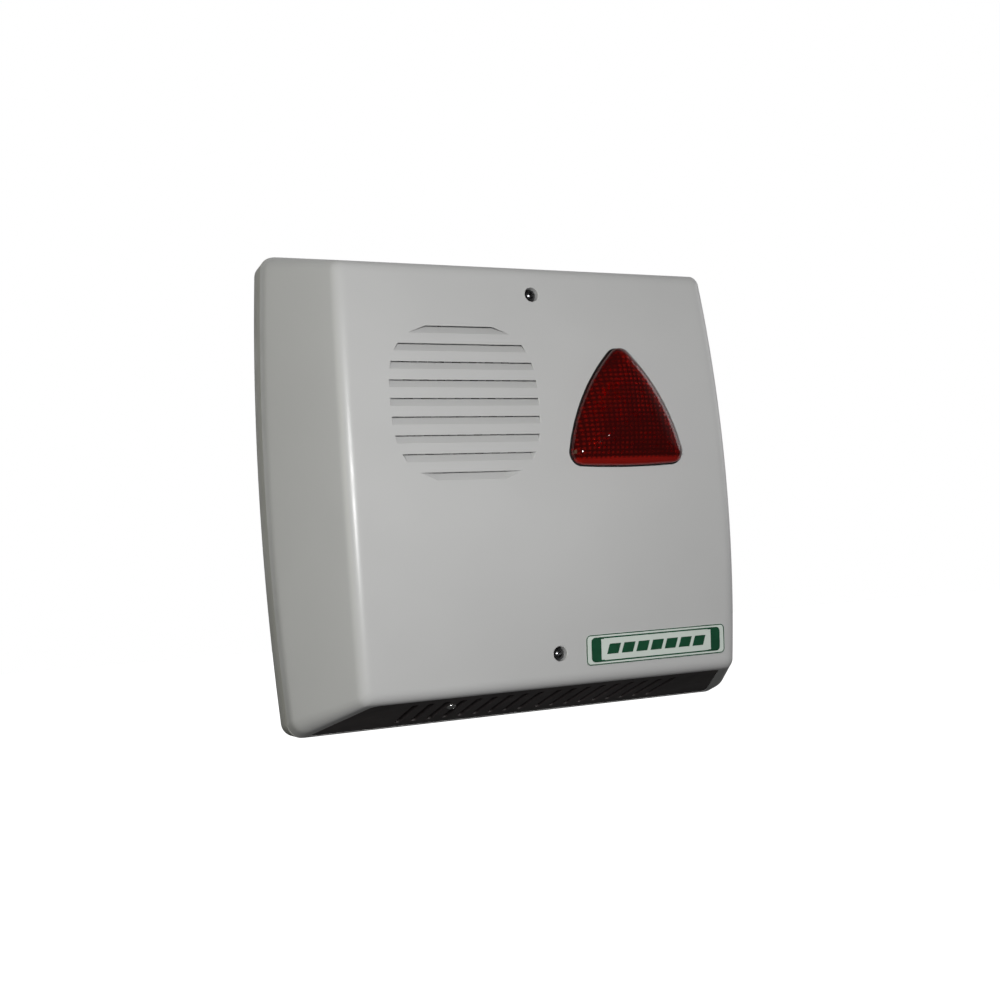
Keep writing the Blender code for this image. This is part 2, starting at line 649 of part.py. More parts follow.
def small_screw(name, x, z, face, length, shank=1.25 * MM, head=2.9 * MM):
    """A pan-head screw that stands on a face and points at the wall."""
    top = -face + GAP
    return turned(name, x, z, (
        (0.0, top + 1.8 * MM), (head * 0.6, top + 1.6 * MM), (head, top + 0.7 * MM), (head, top),
        (shank, top), (shank, top - length), (0.0, top - length)), "steel", steps=12)


def guard_screw_places():
    return [(HORN_X + side * GUARD_SCREW_REACH, HORN_Z - side * GUARD_SCREW_REACH) for side in (-1, 1)]


def make_guard():
    """The steel guard behind the louvres, which stops rods and foam."""
    points = outline(43.5 * MM, 43.5 * MM, 8 * MM, 0.0, 4, 1)
    guard = prism("horn_guard", [(HORN_X + x, HORN_Z + z) for x, z in points], GUARD_Y,
                  GUARD_Y - 1 * MM, "zinc")
    tools = []
    for number in range(GUARD_SLOTS):
        x = HORN_X + (number - (GUARD_SLOTS - 1) / 2) * GUARD_SLOT_PITCH
        tools.append(block("guard_slot_%d" % number, x, HORN_Z, 5 * MM, 58 * MM, GUARD_Y + 1 * MM,
                           GUARD_Y - 2 * MM))
    for number, (x, z) in enumerate(guard_screw_places()):
        tools.append(rod("guard_hole_%d" % number, x, z, 1.6 * MM, GUARD_Y + 1 * MM,
                         GUARD_Y - 2 * MM, sides=12))
        front_pointing_screw("guard_screw_%d" % (number + 1), x, z, GUARD_Y, 5 * MM)
    cut(guard, *tools)


def front_pointing_screw(name, x, z, face, length, shank=1.2 * MM, head=2.6 * MM):
    """A pan-head screw driven from inside the cover towards its front."""
    base = -face - GAP
    return turned(name, x, z, (
        (0.0, base + length), (shank, base + length), (shank, base), (head, base), (head, base - 0.8 * MM),
        (head * 0.6, base - 1.6 * MM), (0.0, base - 1.8 * MM)), "steel", steps=16)


# Beacon

def lens_screw_places():
    """The middle of each side of the lens flange, outside the gasket."""
    side_steps, corner_steps = 6, 4
    points = lens_outline(5.1 * MM, side_steps, corner_steps)
    return [points[side * (side_steps + corner_steps) + side_steps // 2] for side in range(3)]


def make_lens():
    def ring(offset, y):
        return [(x, y, z) for x, z in lens_outline(offset)]

    rear = LENS_SEAT_Y + 3.8 * MM
    flange = LENS_SEAT_Y + 2.1 * MM
    outer = ((7.2 * MM, rear), (7.2 * MM, flange), (0.0, flange), (0.0, -77.0 * MM),
             (-1.2 * MM, -79.6 * MM), (-4.0 * MM, -82.4 * MM))
    rings = [ring(offset, y) for offset, y in outer]
    for scale in (0.8, 0.5, 0.22):
        rings.append([shrink(point, scale, -82.4 * MM, 3.6 * MM) for point in rings[5]])
    inner_edge = ring(-6.4 * MM, -79.9 * MM)
    inner = [ring(-2.4 * MM, rear), ring(-2.4 * MM, -76.2 * MM), inner_edge]
    inner += [[shrink(point, scale, -79.9 * MM, 3.6 * MM) for point in inner_edge]
              for scale in (0.8, 0.5, 0.22)]
    lens = loft_cup("beacon_lens", rings, inner, "red_lens",
                    (LENS_X, -86.0 * MM, LENS_MIDDLE_Z), (LENS_X, -83.5 * MM, LENS_MIDDLE_Z))
    for number, (x, z) in enumerate(lens_screw_places()):
        cut(lens, rod("lens_hole_%d" % number, x, z, 1.6 * MM, -63 * MM, -68 * MM, sides=12))
        front_pointing_screw("lens_screw_%d" % (number + 1), x, z, rear, 5 * MM)
    return smooth(lens, 25)


def shrink(point, scale, plane, crown):
    """A point of an inner ring of the domed front, pulled towards the lens's middle."""
    x, _, z = point
    return (LENS_X + (x - LENS_X) * scale, plane - crown * (1 - scale ** 2),
            LENS_MIDDLE_Z + (z - LENS_MIDDLE_Z) * scale)


def loft_cup(name, outer, inner, finish, outer_apex, inner_apex):
    """A cup: the outer skin and the inner skin, each closed by a fan, joined at the rear."""
    bm = bmesh.new()
    rows = [[bm.verts.new(point) for point in ring] for ring in list(reversed(inner)) + outer]
    count = len(rows[0])
    for row, following in zip(rows, rows[1:]):
        for i in range(count):
            j = (i + 1) % count
            bm.faces.new((row[i], row[j], following[j], following[i]))
    for row, apex in ((rows[0], inner_apex), (rows[-1], outer_apex)):
        tip = bm.verts.new(apex)
        for i in range(count):
            bm.faces.new((row[i], row[(i + 1) % count], tip))
    return make_object(name, mesh_from(name, bm), finish)


def make_lens_gasket():
    rings = []
    for offset, y in ((0.9, 0.3), (0.9, 1.8), (2.9, 1.8), (2.9, 0.3)):
        rings.append([(x, LENS_SEAT_Y + y * MM, z) for x, z in lens_outline(offset * MM)])
    return loft("lens_gasket", rings + [rings[0]], "rubber", caps=(False, False))


def make_lamp():
    front = -BOARD_FRONT_Y
    turned("lamp_holder", LENS_X, LAMP_Z, (
        (8 * MM, front + 13 * MM), (8 * MM, front + GAP), (0.0, front + GAP), (0.0, front + 3 * MM),
        (5.2 * MM, front + 3 * MM), (5.2 * MM, front + 13 * MM)), "white_plastic", steps=24)
    turned("bulb_cap", LENS_X, LAMP_Z, (
        (4.7 * MM, front + 20 * MM), (4.7 * MM, front + 5 * MM), (2 * MM, front + 3.6 * MM),
        (0.0, front + 3.6 * MM), (0.0, front + 20 * MM)), "brass", steps=20)
    turned("bulb_glass", LENS_X, LAMP_Z, (
        (0.0, front + 41 * MM), (4.5 * MM, front + 39.6 * MM), (7.6 * MM, front + 35 * MM),
        (8 * MM, front + 31 * MM), (6.8 * MM, front + 26 * MM), (4.6 * MM, front + 22 * MM),
        (4.4 * MM, front + 20.3 * MM), (0.0, front + 20.3 * MM)), "glass", steps=18)
    turned("lamp_reflector", LENS_X, LAMP_Z, (
        (25 * MM, front + 33 * MM), (19 * MM, front + 22 * MM), (12 * MM, front + 15.4 * MM),
        (9.6 * MM, front + 14.4 * MM), (9.6 * MM, front + 13.3 * MM), (6 * MM, front + 13.3 * MM),
        (6 * MM, front + 15.4 * MM), (10.6 * MM, front + 15.8 * MM), (17.8 * MM, front + 22.6 * MM),
        (23.6 * MM, front + 33 * MM)), "aluminium", steps=24)


# Battery

def strap_screw_heights():
    return (-93.5 * MM, -15.5 * MM)


def make_battery():
    width, depth, height = BATTERY_SIZE
    back = BATTERY_FRONT_Y + depth
    top = BATTERY_BOTTOM_Z + height
    case = box("battery_case", (-width / 2, BATTERY_FRONT_Y, BATTERY_BOTTOM_Z),
               (width / 2, back, top - LID_HEIGHT - GAP), "battery_case")
    round_edges(case, 1.5 * MM)
    lid = box("battery_lid", (-width / 2, BATTERY_FRONT_Y, top - LID_HEIGHT), (width / 2, back, top),
              "battery_case")
    round_edges(lid, 1.0 * MM)
    for name, x in (("battery_terminal_pos", 58 * MM), ("battery_terminal_neg", 78 * MM)):
        box(name, (x - 2.4 * MM, -25 * MM, top + GAP), (x + 2.4 * MM, -24.2 * MM, top + 6.6 * MM), "brass")
    make_strap(top)


def round_edges(item, width):
    bevel = item.modifiers.new("edges", "BEVEL")
    bevel.width = width
    bevel.segments = 2
    bevel.limit_method = "ANGLE"


def make_strap(top):
    """A bent steel strap over the front of the battery, screwed down at both ends."""
    thick = 1.2 * MM
    low, high = BATTERY_BOTTOM_Z - 1.2 * MM, top + 1.2 * MM
    front, foot = BATTERY_FRONT_Y - 1.0 * MM, -7.0 * MM
    bottom_end, top_end = strap_screw_heights()
    inner = [(foot, bottom_end - 5 * MM), (foot, low), (front, low), (front, high), (foot, high),
             (foot, top_end + 5 * MM)]
    outer = [(foot - thick, top_end + 5 * MM), (foot - thick, high + thick),
             (front - thick, high + thick), (front - thick, low - thick),
             (foot - thick, low - thick), (foot - thick, bottom_end - 5 * MM)]
    rings = [[(x, y, z) for y, z in inner + outer] for x in (STRAP_X - 7 * MM, STRAP_X + 7 * MM)]
    strap = loft("battery_strap", rings, "zinc")
    for number, z in enumerate(strap_screw_heights()):
        cut(strap, rod("strap_hole_%d" % number, STRAP_X, z, 2.1 * MM, -6 * MM, -10 * MM, sides=16))
        small_screw("strap_screw_%d" % (number + 1), STRAP_X, z, foot - thick, 4.4 * MM)


# Circuit board

def board_screw_places():
    margin = 4.5 * MM
    return [(x, z) for x in (BOARD_X[0] + margin, BOARD_X[1] - margin)
            for z in (BOARD_Z[0] + margin, BOARD_Z[1] - margin)]


def make_board():
    board = box("circuit_board", (BOARD_X[0], BOARD_FRONT_Y, BOARD_Z[0]),
                (BOARD_X[1], BOARD_BACK_Y, BOARD_Z[1]), "board")
    for number, (x, z) in enumerate(board_screw_places()):
        cut(board, rod("board_hole_%d" % number, x, z, 1.7 * MM, BOARD_BACK_Y + 1 * MM,
                       BOARD_FRONT_Y - 1 * MM, sides=14))
        small_screw("board_screw_%d" % (number + 1), x, z, BOARD_FRONT_Y, 7.5 * MM)
    make_board_parts()


def make_board_parts():
    on = BOARD_FRONT_Y - GAP
    terminals = block("terminal_block", 46 * MM, -7.5 * MM, 50 * MM, 9 * MM, on, on - 10 * MM,
                      "green_plastic")
    for number in range(9):
        x = (46 + (number - 4) * 5.3) * MM
        cut(terminals, rod("clamp_hole_%d" % number, x, -6.2 * MM, 1.5 * MM, on - 7 * MM, on - 11 * MM,
                           sides=10))
    turned("smoothing_capacitor", 24 * MM, 70 * MM, (
        (0.0, -on + 24 * MM), (7.2 * MM, -on + 24 * MM), (8 * MM, -on + 23.2 * MM), (8 * MM, -on),
        (0.0, -on)), "blue_plastic", steps=24)
    block("relay", 92 * MM, 45 * MM, 16 * MM, 20 * MM, on, on - 16 * MM, "blue_plastic")
    block("amplifier_transistor", 60 * MM, 74.2 * MM, 10 * MM, 4.6 * MM, on, on - 18 * MM, "black_plastic")
    sink = block("heat_sink", 60 * MM, 80.5 * MM, 30 * MM, 7 * MM, on, on - 22 * MM, "aluminium")
    for number in range(5):
        x = (60 + (number - 2) * 5.6) * MM
        cut(sink, block("fin_gap_%d" % number, x, 82.6 * MM, 3.2 * MM, 5 * MM, on + 1 * MM, on - 23 * MM))
    block("micro_controller", 80 * MM, 16 * MM, 9 * MM, 22 * MM, on, on - 4 * MM, "black_plastic")
    holder = block("fuse_holder", 18 * MM, 14 * MM, 8 * MM, 26 * MM, on, on - 8 * MM, "black_plastic")
    cut(holder, block("fuse_channel", 18 * MM, 14 * MM, 5.6 * MM, 21.4 * MM, on - 2.2 * MM, on - 9 * MM))
    fuse = rod("fuse", 0.0, 0.0, 2.4 * MM, 10 * MM, -10 * MM, "glass", sides=16)
    upright = Matrix.Rotation(math.pi / 2, 4, "X")
    fuse.matrix_world = Matrix.Translation((18 * MM, on - 5.2 * MM, 14 * MM)) @ upright
    block("setting_jumper", 78 * MM, 62 * MM, 5 * MM, 2.6 * MM, on, on - 6 * MM, "red_wire")


# Tamper switches

def make_tampers():
    on = BOARD_FRONT_Y - GAP
    body = block("tamper_switch", TAMPER_X, TAMPER_Z, 11 * MM, 11 * MM, on, on - 12 * MM, "black_plastic")
    cut(body, rod("tamper_bore", TAMPER_X, TAMPER_Z, 2.2 * MM, on - 3 * MM, on - 13 * MM, sides=16))
    turned("tamper_plunger", TAMPER_X, TAMPER_Z, (
        (0.0, 34.0 * MM), (3.6 * MM, 34.0 * MM), (4.2 * MM, 33.4 * MM), (4.2 * MM, 32.2 * MM),
        (1.7 * MM, 32.2 * MM), (1.7 * MM, 19.2 * MM), (0.0, 19.2 * MM)), "white_plastic", steps=20)
    low, high, turns, per_turn = 27.1 * MM, 31.6 * MM, 4, 10
    count = turns * per_turn
    coil = []
    for step in range(count + 1):
        angle = math.tau * step / per_turn
        y = -(low + (high - low) * step / count)
        coil.append((TAMPER_X + 2.9 * MM * math.cos(angle), y, TAMPER_Z + 2.9 * MM * math.sin(angle)))
    spring = bpy.data.curves.new("tamper_spring", "CURVE")
    spring.dimensions = "3D"
    spline = spring.splines.new("POLY")
    spline.points.add(count)
    for point, place in zip(spline.points, coil):
        point.co = (*place, 1.0)
    spring.bevel_depth = 0.25 * MM
    spring.bevel_resolution = 1
    spring.use_fill_caps = True
    make_object("tamper_spring", spring, "steel")
    block("wall_tamper_switch", WALL_PIN_X, WALL_PIN_Z, 12 * MM, 9 * MM, BOARD_BACK_Y + 2.3 * MM,
          BOARD_BACK_Y + GAP, "black_plastic")
    turned("wall_tamper_pin", WALL_PIN_X, WALL_PIN_Z, (
        (0.0, 9.7 * MM), (2.0 * MM, 9.7 * MM), (2.0 * MM, 8.2 * MM), (4.2 * MM, 8.2 * MM),
        (4.2 * MM, 7.0 * MM), (2.6 * MM, 7.0 * MM), (2.6 * MM, 0.6 * MM), (2.1 * MM, 0.1 * MM),
        (0.0, 0.1 * MM)), "white_plastic", steps=20)


# Wires

def make_wires():
    top = BATTERY_BOTTOM_Z + BATTERY_SIZE[2]
    for name, x, end_x, finish in (("battery_lead_pos", 58 * MM, 56.6 * MM, "red_wire"),
                                   ("battery_lead_neg", 78 * MM, 61.9 * MM, "black_wire")):
        tube(name, ((x, -26.4 * MM, top + 1.5 * MM), (x, -28 * MM, top + 6 * MM),
                    (x - 2 * MM, -32 * MM, top + 9 * MM), (end_x, -32.5 * MM, -10 * MM),
                    (end_x, -27.5 * MM, -6.6 * MM), (end_x, -25 * MM, -6.2 * MM)),
             2.2 * MM, finish)
    start_x, start_z = HORN_X + 28.2 * MM, HORN_Z - 8 * MM
    tube("horn_lead", ((start_x, -24 * MM, start_z), (start_x + 5 * MM, -24 * MM, start_z - 1 * MM),
                       (start_x + 12 * MM, -28 * MM, start_z - 11 * MM), (2 * MM, -33 * MM, 2 * MM),
                       (14 * MM, -36 * MM, -7 * MM), (26 * MM, -33 * MM, -9 * MM),
                       (30.1 * MM, -28 * MM, -7 * MM), (30.1 * MM, -25 * MM, -6.2 * MM)),
         2.4 * MM, "black_wire")


clear_scene()
PARTS = make_collection("alarm_siren")
CUTTERS = make_collection("cutters")
make_base()
make_cover()
make_bottom_grille()
make_grille_screw()
make_badge()
make_cover_screws()
make_cover_seal()
make_cable_grommet()
make_horn()
make_guard()
make_lens()
make_lens_gasket()
make_lamp()
make_battery()
make_board()
make_tampers()
make_wires()
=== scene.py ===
"""Looks for the wall-mounted alarm siren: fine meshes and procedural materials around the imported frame.

Metres, in the frame of the CAD: the wall face is at y = 0, the front faces -Y and +Z is up.
"""
import json
import math

import bmesh
import bpy
from mathutils import Matrix, Vector


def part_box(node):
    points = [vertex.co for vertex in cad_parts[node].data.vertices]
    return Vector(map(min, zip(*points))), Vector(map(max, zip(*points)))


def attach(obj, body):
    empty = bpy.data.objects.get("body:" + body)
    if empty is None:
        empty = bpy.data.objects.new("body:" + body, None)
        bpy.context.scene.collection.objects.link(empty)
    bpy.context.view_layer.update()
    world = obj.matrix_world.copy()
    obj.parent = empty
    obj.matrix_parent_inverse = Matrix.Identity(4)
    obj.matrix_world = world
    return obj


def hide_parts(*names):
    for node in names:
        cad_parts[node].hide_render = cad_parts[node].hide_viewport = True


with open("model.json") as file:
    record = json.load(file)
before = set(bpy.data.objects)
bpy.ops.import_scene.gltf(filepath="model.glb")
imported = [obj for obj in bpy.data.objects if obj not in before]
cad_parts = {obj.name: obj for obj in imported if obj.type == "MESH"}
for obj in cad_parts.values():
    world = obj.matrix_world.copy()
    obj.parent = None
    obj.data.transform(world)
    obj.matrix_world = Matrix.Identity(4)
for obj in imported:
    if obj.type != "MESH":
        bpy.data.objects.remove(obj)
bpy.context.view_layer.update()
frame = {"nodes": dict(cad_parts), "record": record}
MM = 0.001

# Housing
FRONT_W, FRONT_H = 208.0 * MM, 215.0 * MM
REAR_W, REAR_H = 255.0 * MM, 249.0 * MM
FRONT_BARREL, REAR_BARREL = 2.9 * MM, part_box("base_tray")[1][0] - REAR_W / 2
FRONT_CORNER, REAR_CORNER, RIM_CORNER = 4.5 * MM, 8.0 * MM, 7.0 * MM
BASE_DEPTH, BAND_DEPTH, FRONT_DEPTH = 15.0 * MM, 24.0 * MM, 69.5 * MM
BULGE, EDGE_ROUND = 6.8 * MM, 5.0 * MM
COVER_WALL, BASE_WALL = 2.5 * MM, 3.0 * MM
SIDE_WALL = 2.7 * MM

# Louvres
HORN_X, HORN_Z = -42.7 * MM, 36.3 * MM
LOUVRE_ROWS, LOUVRE_PITCH = 9, 9.27 * MM
LOUVRE_HEIGHT, LOUVRE_RISE = 3.6 * MM, 4.05 * MM
LOUVRE_HALF, LOUVRE_POWER = 40.2 * MM, 3.0
LOUVRE_LIP, LOUVRE_END_LIP = 0.4 * MM, 0.9 * MM
LOUVRE_FIELD, LOUVRE_FADE = 52.0 * MM, 8 * MM
GRID_STEP = 4.5 * MM

# Beacon
LENS_X, LENS_MIDDLE_Z = 45.5 * MM, 27.0 * MM
LENS_CORNER = 6.5 * MM
LENS_VERTICES = ((0.0, 57.9 * MM), (-26.5 * MM, 9.5 * MM), (26.5 * MM, 9.5 * MM))
LENS_BULGES = (4.0 * MM, 0.8 * MM, 4.0 * MM)
LENS_SEAT_Y, LENS_CROWN = -69.0 * MM, 3.3 * MM
LENS_CELL_W, LENS_CELL_H, LENS_CELL_DEPTH = 2.7 * MM, 2.4 * MM, 0.95 * MM

# Screws, badge, underside
SCREW_HEIGHTS = {"top": 93.5 * MM, "bottom": -92.3 * MM}
WELL_RADIUS, WELL_FLOOR_Y, TOWER_Y = 3.7 * MM, -65.0 * MM, -35.0 * MM
BADGE_X, BADGE_Z = 56.4 * MM, -92.0 * MM
BADGE_W, BADGE_H = 83.7 * MM, 15.6 * MM
UNDER_HALF = (98.0 * MM, 118.5 * MM)
UNDER_Y = (-64.6 * MM, -17.2 * MM)
OUTLET_MIDDLE_Y, OUTLET_REACH = -41.25 * MM, 14.5 * MM
OUTLET_FIRST_X, OUTLET_PITCH, OUTLET_HALF = 5.2 * MM, 8.6 * MM, 1.7 * MM
OUTLETS_PER_SIDE = 9
GRILLE_SCREW_X, GRILLE_SCREW_Y = -52.5 * MM, -49.0 * MM


# Node helpers

class Look:
    """A small builder for one Principled material."""

    def __init__(self, name, colour, roughness, metallic=0.0, **sockets):
        self.material = bpy.data.materials.new(name)
        self.material.use_nodes = True
        self.tree = self.material.node_tree
        self.shader = self.tree.nodes["Principled BSDF"]
        self.shader.inputs["Base Color"].default_value = (*colour, 1.0)
        self.shader.inputs["Roughness"].default_value = roughness
        self.shader.inputs["Metallic"].default_value = metallic
        for socket, value in sockets.items():
            self.shader.inputs[socket.replace("_", " ")].default_value = value
        self.place = self.tree.nodes.new("ShaderNodeTexCoord").outputs["Object"]
        self.colour = colour
        self.roughness = roughness
        self.normal = None

    def link(self, source, target):
        self.tree.links.new(source, target)

    def node(self, kind, **sockets):
        """Add a node with values in some of its sockets."""
        node = self.tree.nodes.new("ShaderNode" + kind)
        for socket, value in sockets.items():
            node.inputs[socket.replace("_", " ")].default_value = value
        return node

    def noise(self, scale, detail, stretch=None):
        node = self.node("TexNoise", Scale=scale, Detail=detail)
        place = self.place
        if stretch:
            mapping = self.node("Mapping", Scale=stretch)
            self.link(place, mapping.inputs["Vector"])
            place = mapping.outputs["Vector"]
        self.link(place, node.inputs["Vector"])
        return node.outputs["Fac"]

    def ramp(self, factor, low, high, start=0.35, end=0.65):
        """Blend two colours over a stretch of the factor."""
        node = self.node("ValToRGB")
        for element, position, colour in zip(node.color_ramp.elements, (start, end), (low, high)):
            element.position = position
            element.color = (*colour, 1.0)
        self.link(factor, node.inputs["Fac"])
        return node.outputs["Color"]

    def span(self, factor, low, high, start=0.3, end=0.7):
        node = self.node("MapRange", From_Min=start, From_Max=end, To_Min=low, To_Max=high)
        self.link(factor, node.inputs["Value"])
        return node.outputs["Result"]

    def product(self, first, second):
        node = self.node("Math")
        node.operation = "MULTIPLY"
        self.link(first, node.inputs[0])
        self.link(second, node.inputs[1])
        return node.outputs["Value"]

    def split_place(self):
        split = self.node("SeparateXYZ")
        self.link(self.place, split.inputs["Vector"])
        return split

    def vary_colour(self, scale, amount):
        low = tuple(channel * (1 - amount) for channel in self.colour)
        high = tuple(min(1.0, channel * (1 + amount)) for channel in self.colour)
        self.link(self.ramp(self.noise(scale, 3.0), low, high), self.shader.inputs["Base Color"])
        return self

    def vary_roughness(self, scale, amount, detail=3.0, stretch=None):
        low, high = self.roughness - amount, self.roughness + amount
        self.link(self.span(self.noise(scale, detail, stretch), low, high), self.shader.inputs["Roughness"])
        return self

    def bump(self, scale, distance, strength):
        return self.emboss(self.noise(scale, 2.0), distance, strength)

    def emboss(self, height, distance, strength):
        """Add a height to the bumps the look already has."""
        node = self.node("Bump", Strength=strength, Distance=distance)
        self.link(height, node.inputs["Height"])
        if self.normal:
            self.link(self.normal, node.inputs["Normal"])
        self.normal = node.outputs["Normal"]
        self.link(self.normal, self.shader.inputs["Normal"])
        return self

    def cells(self, across, down, dark, bright, depth):
        """Rows of small moulded squares seen from the front, raised in their middles; painted highlights make
        the middles brighter, and painted light brightens a band along the lens's foot.
        """
        waves = []
        for direction, width in (("X", across), ("Z", down)):
            wave = self.node("TexWave", Scale=WAVE_PERIOD / width, Distortion=0.25)
            wave.bands_direction = direction
            self.link(self.place, wave.inputs["Vector"])
            waves.append(wave.outputs["Fac"])
        squares = self.product(*waves)
        # painted highlights: each square's middle is coloured brighter, unevenly from square to square
        painted_cell_highlights = self.product(squares, self.span(self.noise(70.0, 1.0), 0.35, 1.0, 0.4, 0.62))
        # painted light: the foot band gets a brighter colour and less transmission
        foot = self.span(self.split_place().outputs["Z"], 1.0, 0.0, *LENS_LIT_BAND_HEIGHTS)
        mixer = self.node("Mix")
        mixer.data_type = "RGBA"
        self.link(foot, mixer.inputs["Factor"])
        self.link(self.ramp(painted_cell_highlights, dark, bright, 0.05, 0.9), mixer.inputs["A"])
        mixer.inputs["B"].default_value = (*LENS_LIT_BAND_COLOUR, 1.0)
        self.link(mixer.outputs["Result"], self.shader.inputs["Base Color"])
        clear, lit_band_transmission = self.shader.inputs["Transmission Weight"].default_value, 0.1
        self.link(self.span(foot, clear, lit_band_transmission, 0.0, 1.0), self.shader.inputs["Transmission Weight"])
        return self.emboss(squares, depth, 0.5)

    def tracks(self, width, length, bright):
        """Copper tracks under the solder mask, as a brick pattern seen from the front."""
        split, join = self.split_place(), self.node("CombineXYZ")
        self.link(split.outputs["X"], join.inputs["X"])
        self.link(split.outputs["Z"], join.inputs["Y"])
        darker = (*(channel * 0.8 for channel in self.colour), 1.0)
        bricks = self.node("TexBrick", Scale=1.0, Brick_Width=length, Row_Height=width,
                           Mortar_Size=width * 0.16, Color1=(*self.colour, 1.0), Color2=darker,
                           Mortar=(*bright, 1.0))
        self.link(join.outputs["Vector"], bricks.inputs["Vector"])
        self.link(bricks.outputs["Color"], self.shader.inputs["Base Color"])
        return self


WAVE_PERIOD = math.pi / 10
# Painted light: a bright, less clear band along the lens's foot, full below the first height, gone above the
# second
LENS_LIT_BAND_HEIGHTS = (0.0052, 0.0066)
LENS_LIT_BAND_COLOUR = (0.25, 0.008, 0.005)


def make_looks():
    looks = {}

    def add(slot, look):
        looks[slot] = look.material

    cover = Look("moulded_grey_abs", (0.50, 0.50, 0.497), 0.36, Specular_IOR_Level=0.5)
    add("cover_plastic", cover.vary_colour(9.0, 0.025).vary_roughness(60.0, 0.05)
        .bump(2600.0, 0.00004, 0.22).bump(55.0, 0.0006, 0.05))
    base = Look("moulded_olive_abs", (0.36, 0.358, 0.335), 0.45)
    add("base_plastic", base.vary_colour(11.0, 0.04).vary_roughness(80.0, 0.05).bump(2200.0, 0.00005, 0.3))
    black = Look("black_abs", (0.05, 0.042, 0.042), 0.55)
    add("black_plastic", black.vary_colour(40.0, 0.25).vary_roughness(90.0, 0.06).bump(1900.0, 0.00005, 0.3))
    lens = Look("red_polycarbonate", (0.27, 0.0024, 0.0012), 0.05, Transmission_Weight=0.8, IOR=1.5,
                Specular_IOR_Level=0.25)
    # painted highlights on the lens's squares, from the first red between them to the second in their middles
    add("lens_red", lens.cells(LENS_CELL_W, LENS_CELL_H, (0.15, 0.0012, 0.0006), (0.58, 0.011, 0.004),
                               0.00004))
    rubber = Look("black_rubber", (0.013, 0.012, 0.012), 0.8, Specular_IOR_Level=0.25)
    add("rubber", rubber.vary_colour(60.0, 0.2).bump(1500.0, 0.00008, 0.35))
    steel = Look("bright_zinc_steel", (0.66, 0.66, 0.65), 0.2, 1.0)
    add("screw_steel", steel.vary_roughness(700.0, 0.08).bump(900.0, 0.00003, 0.25))
    dark = Look("dark_zinc_steel", (0.16, 0.16, 0.165), 0.24, 1.0)
    add("dark_screw", dark.vary_roughness(700.0, 0.06).bump(900.0, 0.00003, 0.25))
    sheet = Look("zinc_sheet", (0.56, 0.57, 0.585), 0.36, 1.0)
    add("plated_sheet", sheet.vary_colour(120.0, 0.12).vary_roughness(90.0, 0.1).bump(260.0, 0.00003, 0.2))
    ferrite = Look("sintered_ferrite", (0.045, 0.045, 0.05), 0.55)
    add("ferrite", ferrite.vary_colour(300.0, 0.3).bump(1200.0, 0.0001, 0.5))
    film = Look("amber_film", (0.50, 0.33, 0.14), 0.3, Coat_Weight=0.3)
    add("diaphragm_film", film.vary_colour(90.0, 0.12))
    white = Look("white_nylon", (0.78, 0.78, 0.755), 0.4, Subsurface_Weight=0.05)
    add("white_plastic", white.vary_colour(50.0, 0.03).bump(1400.0, 0.00004, 0.25))
    reflector = Look("bright_aluminium", (0.78, 0.79, 0.80), 0.2, 1.0)
    add("reflector", reflector.vary_roughness(240.0, 0.07, 2.0, (1.0, 6.0, 1.0)))
    brass = Look("bright_brass", (0.74, 0.53, 0.22), 0.26, 1.0)
    add("brass", brass.vary_colour(200.0, 0.12).vary_roughness(150.0, 0.08))
    glass = Look("clear_glass", (0.97, 0.98, 0.98), 0.02, Transmission_Weight=1.0, IOR=1.47)
    add("clear_glass", glass.bump(160.0, 0.00005, 0.05))
    battery = Look("battery_abs", (0.07, 0.07, 0.075), 0.48)
    add("battery_plastic", battery.vary_colour(30.0, 0.12).bump(1300.0, 0.00008, 0.4))
    board = Look("solder_mask", (0.016, 0.13, 0.05), 0.34, Coat_Weight=0.4)
    add("board_green", board.tracks(0.0032, 0.021, (0.04, 0.24, 0.085)).vary_roughness(300.0, 0.05))
    terminal = Look("green_polyamide", (0.025, 0.26, 0.09), 0.42)
    add("terminal_green", terminal.vary_colour(60.0, 0.06).bump(1200.0, 0.00005, 0.3))
    blue = Look("blue_moulding", (0.03, 0.09, 0.33), 0.32)
    add("part_blue", blue.vary_colour(70.0, 0.08).bump(900.0, 0.00004, 0.2))
    red = Look("red_pvc", (0.50, 0.018, 0.016), 0.42)
    add("red_pvc", red.vary_colour(70.0, 0.08).bump(700.0, 0.00005, 0.2))
    wire = Look("black_pvc", (0.02, 0.02, 0.021), 0.45)
    add("black_pvc", wire.vary_colour(70.0, 0.2).bump(700.0, 0.00005, 0.2))
    badge = Look("badge_white", (0.60, 0.66, 0.61), 0.3, Coat_Weight=0.3)
    add("badge_film", badge.vary_colour(45.0, 0.02))
    green = Look("badge_green", (0.006, 0.062, 0.027), 0.3, Coat_Weight=0.3)
    add("badge_print", green.vary_colour(220.0, 0.12))
    return looks


# Meshes

def finish_piece(name, bm, slot, body, replaced=(), sharp=32.0):
    """Make a piece from a mesh: its look, its body and the nodes it stands in for."""
    bmesh.ops.recalc_face_normals(bm, faces=bm.faces)
    mesh = bpy.data.meshes.new(name)
    bm.to_mesh(mesh)
    bm.free()
    mesh.materials.append(LOOKS[slot])
    mesh.shade_smooth()
    mesh.set_sharp_from_angle(angle=math.radians(sharp))
    item = bpy.data.objects.new(name, mesh)
    bpy.context.scene.collection.objects.link(item)
    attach(item, body)
    if replaced:
        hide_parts(*replaced)
        REPLACED.update(replaced)


